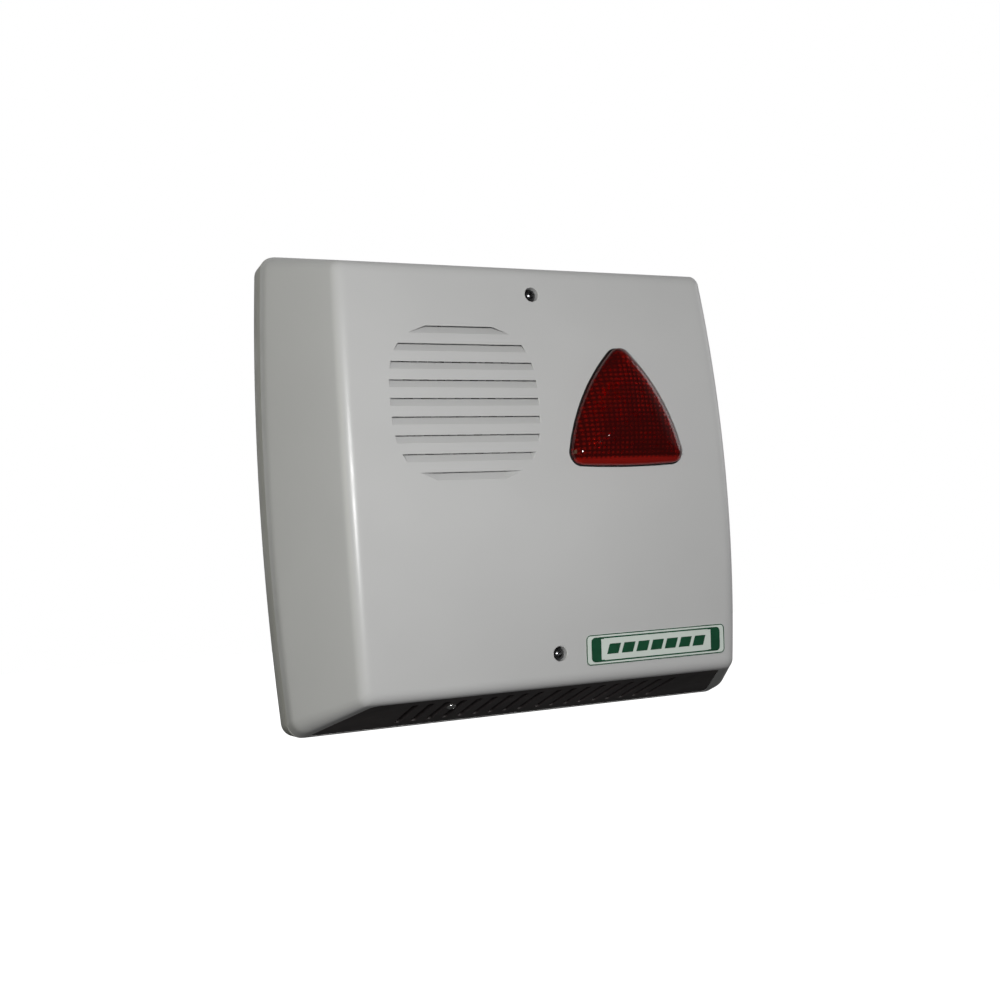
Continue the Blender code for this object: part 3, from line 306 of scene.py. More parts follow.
def baked(bm, add_bm, cut_bm=None):
    """Join one set of closed bodies to a body and cut another set from it."""
    items = []
    for number, part in enumerate((bm, add_bm, cut_bm)):
        if part is None:
            items.append(None)
            continue
        bmesh.ops.recalc_face_normals(part, faces=part.faces)
        mesh = bpy.data.meshes.new("work_%d" % number)
        part.to_mesh(mesh)
        part.free()
        item = bpy.data.objects.new("work_%d" % number, mesh)
        bpy.context.scene.collection.objects.link(item)
        items.append(item)
    body, extra, tool = items
    for operation, other in (("UNION", extra), ("DIFFERENCE", tool)):
        if other:
            modifier = body.modifiers.new(operation, "BOOLEAN")
            modifier.operation = operation
            modifier.solver = "EXACT"
            modifier.object = other
    graph = bpy.context.evaluated_depsgraph_get()
    result = bmesh.new()
    result.from_mesh(body.evaluated_get(graph).to_mesh())
    for item in items:
        if item:
            mesh = item.data
            bpy.data.objects.remove(item)
            bpy.data.meshes.remove(mesh)
    bmesh.ops.remove_doubles(result, verts=result.verts, dist=0.000002)
    return result


def skin(bm, rings, close=False):
    """Quads between rings of vertices."""
    pairs = list(zip(rings, rings[1:]))
    if close:
        pairs.append((rings[-1], rings[0]))
    for row, following in pairs:
        for i in range(len(row)):
            j = (i + 1) % len(row)
            bm.faces.new((row[i], row[j], following[j], following[i]))


def add_loft(bm, rings, close=False):
    """A body through rings of points, capped at both ends or closed on itself."""
    rows = [[bm.verts.new(point) for point in ring] for ring in rings]
    skin(bm, rows, close)
    if not close:
        bm.faces.new(rows[0])
        bm.faces.new(rows[-1])


def circle(x, y, z, radius, sides):
    angles = [math.tau * i / sides for i in range(sides)]
    return [(x + radius * math.cos(angle), y, z + radius * math.sin(angle)) for angle in angles]


def add_rod(bm, x, z, radius, y_back, y_front, sides=48):
    add_loft(bm, [circle(x, y, z, radius, sides) for y in (y_back, y_front)])


def add_box(bm, low, high, place=None):
    low, high = Vector(low), Vector(high)
    matrix = Matrix.Translation((low + high) / 2) @ Matrix.Diagonal((*(high - low), 1.0))
    bmesh.ops.create_cube(bm, size=1.0, matrix=place @ matrix if place else matrix)


def add_prism(bm, points, y_back, y_front):
    add_loft(bm, [[(x, y, z) for x, z in points] for y in (y_back, y_front)])


def add_turned(bm, x, z, profile, steps=72, place=None):
    """Turn (radius, distance in front of the wall) points about a line along Y."""
    open_ends = profile[0][0] == 0 and profile[-1][0] == 0
    rows = []
    for radius, height in profile:
        points = circle(x, -height, z, radius, steps) if radius else [(x, -height, z)]
        rows.append([bm.verts.new(point) for point in points])
    pairs = list(zip(rows, rows[1:]))
    if not open_ends:
        pairs.append((rows[-1], rows[0]))
    for row, following in pairs:
        for i in range(steps):
            j = (i + 1) % steps
            corners = [row[i % len(row)], row[j % len(row)], following[j % len(following)],
                       following[i % len(following)]]
            corners = list(dict.fromkeys(corners))
            if len(corners) > 2:
                bm.faces.new(corners)
    if place:
        bmesh.ops.transform(bm, matrix=place, verts=[vert for row in rows for vert in row])


def add_can(bm, x, z, radius, foot, top, round_by, steps=32, place=None):
    """A short cylinder with rounded rims between two distances in front of the wall."""
    profile = rounded([(0.0, top), (radius, top), (radius, foot), (0.0, foot)], round_by)
    add_turned(bm, x, z, profile, steps, place)


def rounded(profile, radius=0.4 * MM, steps=3):
    """Round the corners of a turned profile that lie off the axis."""
    points = [Vector(point) for point in profile]
    count = len(points)
    closed = points[0].x > 0 or points[-1].x > 0
    result = []
    for i, corner in enumerate(points):
        if not closed and i in (0, count - 1):
            result.append(tuple(corner))
            continue
        before, after = points[i - 1], points[(i + 1) % count]
        reach = min(radius, (before - corner).length * 0.45, (after - corner).length * 0.45)
        start = corner + (before - corner).normalized() * reach
        end = corner + (after - corner).normalized() * reach
        for step in range(steps + 1):
            t = step / steps
            result.append(tuple(start.lerp(corner, t).lerp(corner.lerp(end, t), t)))
    return result


# Outlines and sections

def mix(a, b, t):
    return tuple(p + (q - p) * t for p, q in zip(a, b))


def half_height(y):
    """The top and bottom taper evenly from the base to the front."""
    share = (FRONT_DEPTH + y) / (FRONT_DEPTH - BASE_DEPTH)
    return (FRONT_H + (REAR_H - FRONT_H) * share) / 2


def front_y(z):
    return -FRONT_DEPTH - BULGE * max(0.0, 1 - (2 * z / FRONT_H) ** 2)


def outline(half_w, half_h, corner, barrel=0.0, corner_steps=10, side_steps=24):
    """A rounded rectangle whose left and right sides swell out by the barrel."""
    arcs = []
    for sx, sz, start in ((1, 1, 0.0), (-1, 1, 90.0), (-1, -1, 180.0), (1, -1, 270.0)):
        arc = []
        for step in range(corner_steps + 1):
            angle = math.radians(start + 90.0 * step / corner_steps)
            arc.append((sx * (half_w - corner) + corner * math.cos(angle),
                        sz * (half_h - corner) + corner * math.sin(angle)))
        arcs.append(arc)
    points = []
    for number, arc in enumerate(arcs):
        following = arcs[(number + 1) % 4][0]
        points += arc
        points += [mix(arc[-1], following, step / side_steps) for step in range(1, side_steps)]
    return [(x + x / half_w * barrel * (1 - (z / half_h) ** 2), z) for x, z in points]


def side_arc(start, end, bulge, offset, steps):
    a, b = Vector(start), Vector(end)
    chord = b - a
    outward = Vector((chord.y, -chord.x)).normalized()
    radius = chord.length ** 2 / (8 * bulge) + bulge / 2
    centre = (a + b) / 2 - outward * (radius - bulge)
    first = a - centre
    sweep = 2 * math.asin(chord.length / (2 * radius))
    points = []
    for step in range(steps + 1):
        turn = Matrix.Rotation(sweep * step / steps, 2)
        points.append(centre + (turn @ first).normalized() * (radius + offset))
    return points


def lens_outline(offset, side_steps=48, corner_steps=16):
    """The beacon's rounded triangle, moved out by an offset from its visible edge."""
    reach = LENS_CORNER + offset
    corners = [Vector(vertex) for vertex in LENS_VERTICES]
    sides = [side_arc(corners[i], corners[(i + 1) % 3], LENS_BULGES[i], reach, side_steps) for i in range(3)]
    points = []
    for i in range(3):
        corner = corners[(i + 1) % 3]
        first = sides[i][-1] - corner
        sweep = first.angle_signed(sides[(i + 1) % 3][0] - corner)
        points += sides[i]
        for step in range(1, corner_steps):
            points.append(corner + Matrix.Rotation(-sweep * step / corner_steps, 2) @ first)
    return [(LENS_X + point.x, point.y) for point in points]


def lens_screw_places():
    side_steps, corner_steps = 6, 4
    points = lens_outline(5.1 * MM, side_steps, corner_steps)
    return [points[side * (side_steps + corner_steps) + side_steps // 2] for side in range(3)]


# Cover

def louvre_rows():
    """Each louvre's middle height, lower and upper edge, and its half lengths at both edges."""
    rows = []
    for number in range(LOUVRE_ROWS):
        middle = (number - (LOUVRE_ROWS - 1) / 2) * LOUVRE_PITCH
        edges = (middle - LOUVRE_HEIGHT / 2, middle + LOUVRE_HEIGHT / 2)
        halves = [LOUVRE_HALF * max(0.0, 1 - abs(edge / LOUVRE_HALF) ** LOUVRE_POWER) ** (1 / LOUVRE_POWER)
                  for edge in edges]
        rows.append((HORN_Z + edges[0], HORN_Z + edges[1], halves[0], halves[1]))
    return rows


def place_on(column, row, section):
    """A grid address on a section: up to 1 along the straight, and from 1 to 2 round the corner."""
    half_w, half_h, corner, barrel = section[:4]
    a, b = max(0.0, abs(column) - 1), max(0.0, abs(row) - 1)
    along = min(abs(column), 1.0) * (half_w - corner) + corner * a * math.sqrt(1 - b * b / 2)
    up = min(abs(row), 1.0) * (half_h - corner) + corner * b * math.sqrt(1 - a * a / 2)
    x, z = math.copysign(along, column), math.copysign(up, row)
    return x + x / half_w * barrel * (1 - (z / half_h) ** 2), z


def on_section(column, row, section):
    x, z = place_on(column, row, section)
    plane, share = section[4:]
    return Vector((x, plane + (front_y(z) + FRONT_DEPTH) * share, z))


def spaced(stops, step):
    """Fill the gaps between sorted stops with even steps."""
    result = []
    for low, high in zip(stops, stops[1:]):
        count = max(1, round((high - low) / step))
        result += [low + (high - low) * i / count for i in range(count)]
    return result + [stops[-1]]


CORNER_STEPS = [i / 7 for i in range(1, 8)]
# Half width, half height, corner, barrel, plane and share of the front's bulge
OUTER = {
    "rear": (REAR_W / 2, half_height(-BAND_DEPTH), REAR_CORNER, REAR_BARREL, -BAND_DEPTH, 0.0),
    "edge": (FRONT_W / 2, FRONT_H / 2, FRONT_CORNER, FRONT_BARREL, -FRONT_DEPTH, 1.0),
    "face": (FRONT_W / 2 - EDGE_ROUND, FRONT_H / 2 - EDGE_ROUND, 2.2 * MM, FRONT_BARREL, -FRONT_DEPTH, 1.0),
}
INNER = {
    "rear": (REAR_W / 2 - SIDE_WALL, half_height(-BAND_DEPTH) - SIDE_WALL, REAR_CORNER - SIDE_WALL,
             REAR_BARREL, -BAND_DEPTH, 0.0),
    "edge": (FRONT_W / 2 - 1.6 * MM, FRONT_H / 2 - 1.9 * MM, 3.2 * MM, FRONT_BARREL,
             -FRONT_DEPTH + COVER_WALL, 1.0),
    "face": (FRONT_W / 2 - 5.8 * MM, FRONT_H / 2 - 6.0 * MM, 1.6 * MM, FRONT_BARREL,
             -FRONT_DEPTH + COVER_WALL, 1.0),
}


def wall_sections(skin_sections):
    """Sections from the face's border round the front edge and back along the sides."""
    turn, round_steps, side_steps = 0.092, 9, 14
    rear, edge, face = (skin_sections[key] for key in ("rear", "edge", "face"))
    start = mix(edge, rear, turn)
    sections = []
    for step in range(1, round_steps + 1):
        t = step / round_steps
        sections.append(mix(mix(face, edge, t), mix(edge, start, t), t))
    bend = mix(rear, start, 0.06)
    drop = half_height(-BASE_DEPTH) - half_height(-BAND_DEPTH)
    edge_line = (rear[0], rear[1] + drop, *rear[2:4], -BASE_DEPTH, 0.0)
    band = mix(rear, edge_line, 0.3)
    sections += [mix(start, bend, step / side_steps) for step in range(1, side_steps + 1)]
    sections += [mix(mix(bend, rear, t), mix(rear, band, t), t) for t in (0.2, 0.4, 0.6, 0.8, 1.0)]
    return sections + [mix(band, edge_line, t) for t in (0.5, 1.0)]


def cover_grid():
    """Column and row addresses that hold every louvre's ends and edges."""
    half_w, half_h, corner, barrel = OUTER["face"][:4]
    louvres = louvre_rows()
    marks = set()
    for low, high, half_low, half_high in louvres:
        swell = 1 + barrel / half_w * (1 - ((low + high) / 2 / half_h) ** 2)
        for side in (-1, 1):
            x = HORN_X + side * ((half_low + half_high) / 2 + LOUVRE_LIP)
            marks.add(round(x / swell / (half_w - corner), 5))
    columns = spaced([-1.0] + sorted(marks) + [1.0], GRID_STEP / half_w)
    edges = set()
    for low, high, _, _ in louvres:
        edges.update(((low - LOUVRE_LIP) / (half_h - corner), (high + LOUVRE_LIP) / (half_h - corner)))
    rows = spaced([-1.0] + sorted(edges) + [1.0], GRID_STEP / half_h)
    tail = [1 + step for step in CORNER_STEPS]
    return ([-value for value in reversed(tail)] + columns + tail,
            [-value for value in reversed(tail)] + rows + tail)


def louvre_window(x, z):
    """1 in the louvre field, fading to 0 around it."""
    reach = max(abs(x - HORN_X), abs(z - HORN_Z))
    t = min(1.0, max(0.0, (LOUVRE_FIELD + LOUVRE_FADE - reach) / LOUVRE_FADE))
    return t * t * (3 - 2 * t)


def slide_to_slots(x, z, louvres):
    """Pull a row of the grid in or out so that the slots' slanted ends lie on it."""
    for low, high, half_low, half_high in louvres:
        for edge, half in ((low - LOUVRE_LIP, half_low), (high + LOUVRE_LIP, half_high)):
            if abs(z - edge) < 1e-6:
                middle = (half_low + half_high) / 2
                distance = abs(x - HORN_X)
                inner, wanted = middle + LOUVRE_LIP, half + LOUVRE_LIP
                if distance <= inner + 1e-6:
                    return HORN_X + (x - HORN_X) * wanted / inner
                if distance < LOUVRE_FIELD:
                    t = (distance - inner) / (LOUVRE_FIELD - inner)
                    return HORN_X + math.copysign(wanted + (LOUVRE_FIELD - wanted) * t, x - HORN_X)
    return x


def cover_shell():
    """Both skins of the cover as one closed body, with the louvres open between them."""
    louvres = louvre_rows()
    columns, rows = cover_grid()
    bm = bmesh.new()
    grids = {}
    for key in ("outer", "inner"):
        grid = []
        for row in rows:
            line = []
            for column in columns:
                x, z = place_on(column, row, OUTER["face"])
                flat = slide_to_slots(x, z, louvres)
                point = Vector((flat, front_y(z), z))
                if key == "inner":
                    inner_x, inner_z = place_on(column, row, INNER["face"])
                    share = louvre_window(x, z)
                    z_in = inner_z + (z + LOUVRE_RISE - inner_z) * share
                    x_in = inner_x + (flat - inner_x) * share
                    point = Vector((x_in, front_y(z_in) + COVER_WALL, z_in))
                line.append(bm.verts.new(point))
            grid.append(line)
        grids[key] = grid
    slot_cells = find_slot_cells(grids["outer"], louvres)
    for key, grid in grids.items():
        for j in range(len(rows) - 1):
            for i in range(len(columns) - 1):
                if (i, j) not in slot_cells:
                    bm.faces.new((grid[j][i], grid[j][i + 1], grid[j + 1][i + 1], grid[j + 1][i]))
    add_slot_walls(bm, grids, slot_cells)
    border = border_of(len(columns), len(rows))
    ends = []
    for key, sections in (("outer", OUTER), ("inner", INNER)):
        rings = [[grids[key][j][i] for i, j in border]]
        for section in wall_sections(sections):
            rings.append([bm.verts.new(on_section(columns[i], rows[j], section)) for i, j in border])
        skin(bm, rings)
        ends.append(rings[-1])
    skin(bm, ends)
    return bm


def find_slot_cells(grid, louvres):
    cells = set()
    for j in range(len(grid) - 1):
        for i in range(len(grid[0]) - 1):
            corners = (grid[j][i], grid[j][i + 1], grid[j + 1][i + 1], grid[j + 1][i])
            x = sum(vert.co.x for vert in corners) / 4
            z = sum(vert.co.z for vert in corners) / 4
            for low, high, half_low, half_high in louvres:
                if low < z < high and abs(x - HORN_X) < (half_low + half_high) / 2 + LOUVRE_LIP * 0.9:
                    cells.add((i, j))
    return cells


def add_slot_walls(bm, grids, cells):
    """Line each slot: a rounded outer lip, then straight to the inner skin."""
    lips = {}

    def lip(i, j):
        if (i, j) not in lips:
            around = [((i - 1, j - 1) in cells, (i, j - 1) in cells), ((i - 1, j) in cells, (i, j) in cells)]
            side = (around[0][1] or around[1][1]) - (around[0][0] or around[1][0])
            up = (around[1][0] or around[1][1]) - (around[0][0] or around[0][1])
            outer = grids["outer"][j][i].co
            steps = []
            for share, depth in ((0.45, 0.06), (0.82, 0.3), (1.0, 0.75)):
                shift = Vector((side * share * LOUVRE_END_LIP, depth * LOUVRE_LIP, up * share * LOUVRE_LIP))
                steps.append(bm.verts.new(outer + shift))
            lips[(i, j)] = [grids["outer"][j][i]] + steps + [grids["inner"][j][i]]
        return lips[(i, j)]

    for i, j in cells:
        for neighbour, a, b in (((i, j - 1), (i, j), (i + 1, j)), ((i + 1, j), (i + 1, j), (i + 1, j + 1)),
                                ((i, j + 1), (i + 1, j + 1), (i, j + 1)), ((i - 1, j), (i, j + 1), (i, j))):
            if neighbour in cells:
                continue
            first, second = lip(*a), lip(*b)
            for k in range(len(first) - 1):
                bm.faces.new((first[k], first[k + 1], second[k + 1], second[k]))


def border_of(width, height):
    bottom = [(i, 0) for i in range(width)]
    right = [(width - 1, j) for j in range(1, height)]
    top = [(i, height - 1) for i in range(width - 2, -1, -1)]
    left = [(0, j) for j in range(height - 2, 0, -1)]
    return bottom + right + top + left


def underside_point(x, y, out):
    slope = (REAR_H - FRONT_H) / 2 / (FRONT_DEPTH - BASE_DEPTH)
    normal = Vector((0.0, -slope, -1.0)).normalized()
    return Vector((x, y, -FRONT_H / 2 - (FRONT_DEPTH + y) * slope)) + normal * out


def underside_ring(half_front, half_rear, y_front, y_rear, out, corner=4.0 * MM):
    """A trapezoid with rounded corners on the sloping underside."""
    steps = 6
    corners = [Vector((-half_front, y_front)), Vector((half_front, y_front)), Vector((half_rear, y_rear)),
               Vector((-half_rear, y_rear))]
    points = []
    for number, here in enumerate(corners):
        before, after = corners[number - 1], corners[(number + 1) % 4]
        start = here + (before - here).normalized() * corner
        end = here + (after - here).normalized() * corner
        for step in range(steps + 1):
            t = step / steps
            points.append(start.lerp(here, t).lerp(here.lerp(end, t), t))
    return [underside_point(point.x, point.y, out) for point in points]


def guard_screw_places():
    return [(HORN_X + side * 38 * MM, HORN_Z - side * 38 * MM) for side in (-1, 1)]


GUARD_Y = -65.0 * MM
BOSS_RADIUS, GUARD_BOSS_RADIUS, SMALL_HOLE_RADIUS = 6 * MM, 3.2 * MM, 1.5 * MM
PRESSER_X, PRESSER_RADIUS, PRESSER_TIP_Y, PRESSER_ROOT_Y = 99 * MM, 2.5 * MM, -34.3 * MM, -74.8 * MM


def make_cover():
    shell = cover_shell()
    extra = bmesh.new()
    for z in SCREW_HEIGHTS.values():
        add_rod(extra, 0.0, z, BOSS_RADIUS, TOWER_Y - 0.3 * MM, front_y(z) + 1.2 * MM)
    for x, z in guard_screw_places():
        add_rod(extra, x, z, GUARD_BOSS_RADIUS, GUARD_Y - 1.3 * MM, front_y(z) + 1.2 * MM, 32)
    add_rod(extra, PRESSER_X, 0.0, PRESSER_RADIUS, PRESSER_TIP_Y, PRESSER_ROOT_Y, 32)
    add_prism(extra, lens_outline(8.0 * MM), LENS_SEAT_Y, -72.5 * MM)
    tools = bmesh.new()
    add_prism(tools, lens_outline(0.45 * MM), -60 * MM, -80 * MM)
    for z in SCREW_HEIGHTS.values():
        surface = -front_y(z)
        add_turned(tools, 0.0, z, (
            (0.0, 80 * MM), (WELL_RADIUS + 0.5 * MM, 80 * MM), (WELL_RADIUS + 0.5 * MM, surface + 0.05 * MM),
            (WELL_RADIUS + 0.12 * MM, surface - 0.2 * MM), (WELL_RADIUS, surface - 0.6 * MM),
            (WELL_RADIUS, -WELL_FLOOR_Y), (2.4 * MM, -WELL_FLOOR_Y), (2.4 * MM, 30 * MM), (0.0, 30 * MM)), 64)
    for x, z in guard_screw_places():
        add_rod(tools, x, z, SMALL_HOLE_RADIUS, GUARD_Y, GUARD_Y - 6 * MM, 24)
    for x, z in lens_screw_places():
        add_rod(tools, x, z, SMALL_HOLE_RADIUS, -68 * MM, -71.6 * MM, 24)
    add_loft(tools, [underside_ring(*UNDER_HALF, *UNDER_Y, out) for out in (-9 * MM, 6 * MM)])
    moulding = baked(shell, extra, tools)
    finish_piece("cover_shell", moulding, "cover_plastic", "cover", ("front_cover",), 28)


def make_bottom_grille():
    def ring(grow, out):
        halves = [half + grow for half in UNDER_HALF]
        return underside_ring(*halves, UNDER_Y[0] - grow * 0.2, UNDER_Y[1] + grow * 0.4, out, 4 * MM + grow)

    panel = bmesh.new()
    levels = ((-0.6, -0.1), (-0.4, -0.35), (-0.4, -2.9), (1.2, -2.9), (1.2, -4.6))
    add_loft(panel, [ring(grow * MM, out * MM) for grow, out in levels])
    tools = bmesh.new()
    for side in (-1, 1):
        for number in range(OUTLETS_PER_SIDE):
            x = side * (OUTLET_FIRST_X + OUTLET_PITCH * number)
            points = []
            for end, start in ((1, 0.0), (-1, math.pi)):
                for step in range(9):
                    angle = start + math.pi * step / 8
                    points.append((x + OUTLET_HALF * math.cos(angle), OUTLET_MIDDLE_Y
                                   + end * OUTLET_REACH + OUTLET_HALF * math.sin(angle)))
            add_loft(tools, [[underside_point(px, py, out) for px, py in points]
                             for out in (-9 * MM, 4 * MM)])
    add_turned(tools, 0.0, 0.0, ((0.0, 8 * MM), (1.7 * MM, 8 * MM), (1.7 * MM, -8 * MM), (0.0, -8 * MM)), 32,
               grille_screw_frame())
    finish_piece("grille_panel", baked(panel, None, tools), "black_plastic", "cover", ("bottom_grille",), 30)


def grille_screw_frame():
    slope = math.atan2((REAR_H - FRONT_H) / 2, FRONT_DEPTH - BASE_DEPTH)
    spot = underside_point(GRILLE_SCREW_X, GRILLE_SCREW_Y, 0.0)
    return Matrix.Translation(spot) @ Matrix.Rotation(math.pi / 2 - slope, 4, "X")


def make_screw(name, x, z, profile, body, replaced, slot, place=None, slot_depth=1.3 * MM,
               slot_half=2.3 * MM):
    """A turned screw with a cross recess in its head."""
    screw = bmesh.new()
    add_turned(screw, x, z, rounded(profile, 0.35 * MM), 64, place)
    top = max(height for _, height in profile)
    for width, height in ((slot_half, 0.42 * MM), (0.42 * MM, slot_half)):
        part = bmesh.new()
        ends = ((width, height, -top - MM), (width * 0.55, height * 0.7, -top + slot_depth))
        add_loft(part, [[(x + sx * w, y, z + sz * h) for sx, sz in ((-1, -1), (1, -1), (1, 1), (-1, 1))]
                        for w, h, y in ends])
        if place:
            bmesh.ops.transform(part, matrix=place, verts=part.verts)
        screw = baked(screw, None, part)
    finish_piece(name, screw, slot, body, replaced, 30)


def make_cover_screws():
    floor = -WELL_FLOOR_Y
    for end, z in SCREW_HEIGHTS.items():
        profile = ((0.0, floor + 5.7 * MM), (1.2 * MM, floor + 5.55 * MM), (2.3 * MM, floor + 4.95 * MM),
                   (3.1 * MM, floor + 3.9 * MM), (3.4 * MM, floor + 2.8 * MM), (3.4 * MM, floor + 1.6 * MM),
                   (2.0 * MM, floor + 1.6 * MM), (2.0 * MM, 25 * MM), (1.2 * MM, 23.5 * MM), (0.0, 23.5 * MM))
        make_screw("machine_screw_" + end, 0.0, z, profile, end + "_screw", ("cover_screw_" + end,),
                   "dark_screw")
        washer = bmesh.new()
        add_turned(washer, 0.0, z, rounded(((2.35 * MM, floor + 1.3 * MM), (3.4 * MM, floor + 1.3 * MM),
                                            (3.4 * MM, floor + 0.3 * MM), (2.35 * MM, floor + 0.3 * MM))))
        finish_piece("washer_" + end, washer, "rubber", "cover", ("screw_washer_" + end,))
    profile = millimetres(((0.0, 1.6), (1.0, 1.5), (1.9, 1.1), (2.45, 0.4), (2.5, 0.0), (1.3, 0.0),
                           (1.3, -6.0), (0.0, -6.0)))
    make_screw("grille_fixing_screw", 0.0, 0.0, profile, "cover", ("grille_screw",), "screw_steel",
               grille_screw_frame(), 0.9 * MM, 1.5 * MM)


# Beacon

def prism_relief(x, z, edge):
    """Depth of the moulded optics inside the lens: small crowned squares in rows."""
    u = (x - LENS_X) / LENS_CELL_W
    v = (z - LENS_MIDDLE_Z) / LENS_CELL_H
    crown = (1 - (2 * (u - math.floor(u)) - 1) ** 2) * (1 - (2 * (v - math.floor(v)) - 1) ** 2)
    return LENS_CELL_DEPTH * crown * edge


def make_lens():
    rear, flange = LENS_SEAT_Y + 3.8 * MM, LENS_SEAT_Y + 2.1 * MM

    def ring(offset, y):
        return [(x, y, z) for x, z in lens_outline(offset)]

    outer = [ring(7.2 * MM, rear), ring(7.2 * MM, flange), ring(0.0, flange), ring(0.0, -76.6 * MM)]
    bend = ((0.0, -78.3), (-0.75, -79.3), (-1.6, -80.2), (-3.0, -81.6), (-4.2, -82.3), (-5.4, -82.65))
    outer += [ring(offset * MM, y * MM) for offset, y in bend]
    face = outer[-1]
    inner = [ring(-2.4 * MM, rear), ring(-2.4 * MM, -76.2 * MM), ring(-3.4 * MM, -77.6 * MM),
             ring(-6.2 * MM, -79.7 * MM)]
    inside = inner[-1]
    middle = Vector((LENS_X, 0.0, LENS_MIDDLE_Z))
    steps = 44
    for step in range(1, steps):
        scale, relief = 1 - step / steps, min(1.0, step / 2)
        outer.append([dome_point(point, middle, scale, face[0][1], LENS_CROWN, 0.0) for point in face])
        inner.append([dome_point(point, middle, scale, inside[0][1], LENS_CROWN, relief) for point in inside])
    bm = bmesh.new()
    rows = [[bm.verts.new(point) for point in ring_points] for ring_points in list(reversed(inner)) + outer]
    skin(bm, rows)
    bm.faces.new(rows[0])
    bm.faces.new(rows[-1])
    bmesh.ops.triangulate(bm, faces=[face for face in bm.faces if len(face.verts) > 4])
    tools = bmesh.new()
    for x, z in lens_screw_places():
        add_rod(tools, x, z, 1.6 * MM, -63 * MM, -68 * MM, 24)
    finish_piece("lens_moulding", baked(bm, None, tools), "lens_red", "cover", ("beacon_lens",), 40)
    gasket = bmesh.new()
    add_loft(gasket, [ring(offset * MM, LENS_SEAT_Y + y * MM)
                      for offset, y in ((0.9, 0.3), (0.9, 1.8), (2.9, 1.8), (2.9, 0.3))], close=True)
    finish_piece("lens_seal", gasket, "rubber", "cover", ("lens_gasket",))
    add_lens_bead()
    add_lens_liners()


def add_lens_liners():
    """Strips behind the lens's bevelled rim: black along the two long sides, white along the bottom."""
    side_steps, corner_steps = 48, 16
    span = side_steps + corner_steps
    count = 3 * span
    half_corner = corner_steps // 2
    wall = ((-2.55, 3.6), (-2.55, -7.1), (-3.55, -8.4))
    for name, slot, first, last, reach in (
            ("lens_skirt_left", "rubber", half_corner - corner_steps, side_steps, -6.2),
            ("lens_skirt_right", "rubber", 2 * span - half_corner, 3 * span - half_corner, -4.2),
            ("lens_ledge", "white_plastic", span - half_corner, span + side_steps + half_corner, -6.2)):
        inner = -8.4 + (reach + 3.55) * 0.76
        section = (*wall, (reach, inner), (reach, inner + 0.9), (-3.9, -7.2), (-3.3, -6.2), (-3.3, 3.6))
        rings = []
        for offset, y in section:
            points = lens_outline(offset * MM, side_steps, corner_steps)
            rings.append([(*points[i % count], y) for i in range(first, last)])
        skirt = bmesh.new()
        add_loft(skirt, [[(ring[i][0], LENS_SEAT_Y + ring[i][2] * MM, ring[i][1]) for ring in rings]
                         for i in range(last - first)])
        finish_piece(name, skirt, slot, "cover")


def add_lens_bead():
    """The edge of the seal, squeezed out round the lens and following the curved front."""
    section = ((0.03, -1.2), (0.03, 0.35), (0.2, 0.55), (0.5, 0.55), (0.75, 0.3), (0.8, 0.02), (0.42, -0.1),
               (0.42, -1.2))
    rings = [[(x, front_y(z) - rise * MM, z) for x, z in lens_outline(offset * MM)]
             for offset, rise in section]
    bead = bmesh.new()
    add_loft(bead, rings, close=True)
    finish_piece("lens_bead", bead, "rubber", "cover")


def dome_point(point, middle, scale, plane, crown, relief):
    x = middle.x + (point[0] - middle.x) * scale
    z = middle.z + (point[2] - middle.z) * scale
    y = plane - crown * (1 - scale ** 2)
    return (x, y - prism_relief(x, z, relief) if relief else y, z)


# Badge

def badge_ring(half_w, half_h, corner, rise):
    points = outline(half_w, half_h, corner, 0.0, 8, 10)
    return [(BADGE_X + x, front_y(BADGE_Z + z) - rise, BADGE_Z + z) for x, z in points]


def badge_plate(name, slot, half_w, half_h, corner, low, high, replaced):
    """A thin rounded plate that follows the curve of the front."""
    bm = bmesh.new()
    rings = [badge_ring(half_w, half_h, corner, low), badge_ring(half_w, half_h, corner, high)]
    for scale in (0.9, 0.75, 0.6):
        inset = (1 - scale) * half_h
        rings.append(badge_ring(half_w - inset, half_h - inset, corner * scale, high))
        rings.insert(0, badge_ring(half_w - inset, half_h - inset, corner * scale, low))
    add_loft(bm, rings)
    finish_piece(name, bm, slot, "cover", replaced, 50)


def badge_frame(name, half_w, half_h, corner, line, low, high):
    bm = bmesh.new()
    corner_in = max(0.3 * MM, corner - line)
    rings = [badge_ring(half_w, half_h, corner, low), badge_ring(half_w, half_h, corner, high),
             badge_ring(half_w - line, half_h - line, corner_in, high),
             badge_ring(half_w - line, half_h - line, corner_in, low)]
    add_loft(bm, rings, close=True)
    finish_piece(name, bm, "badge_print", "cover", (), 50)


def badge_patch(name, points, low, high):
    """A small printed patch given by its outline in the badge's own plane."""
    bm = bmesh.new()
    add_loft(bm, [[(BADGE_X + x, front_y(BADGE_Z + z) - rise, BADGE_Z + z) for x, z in points]
                  for rise in (low, high)])
    finish_piece(name, bm, "badge_print", "cover", (), 50)


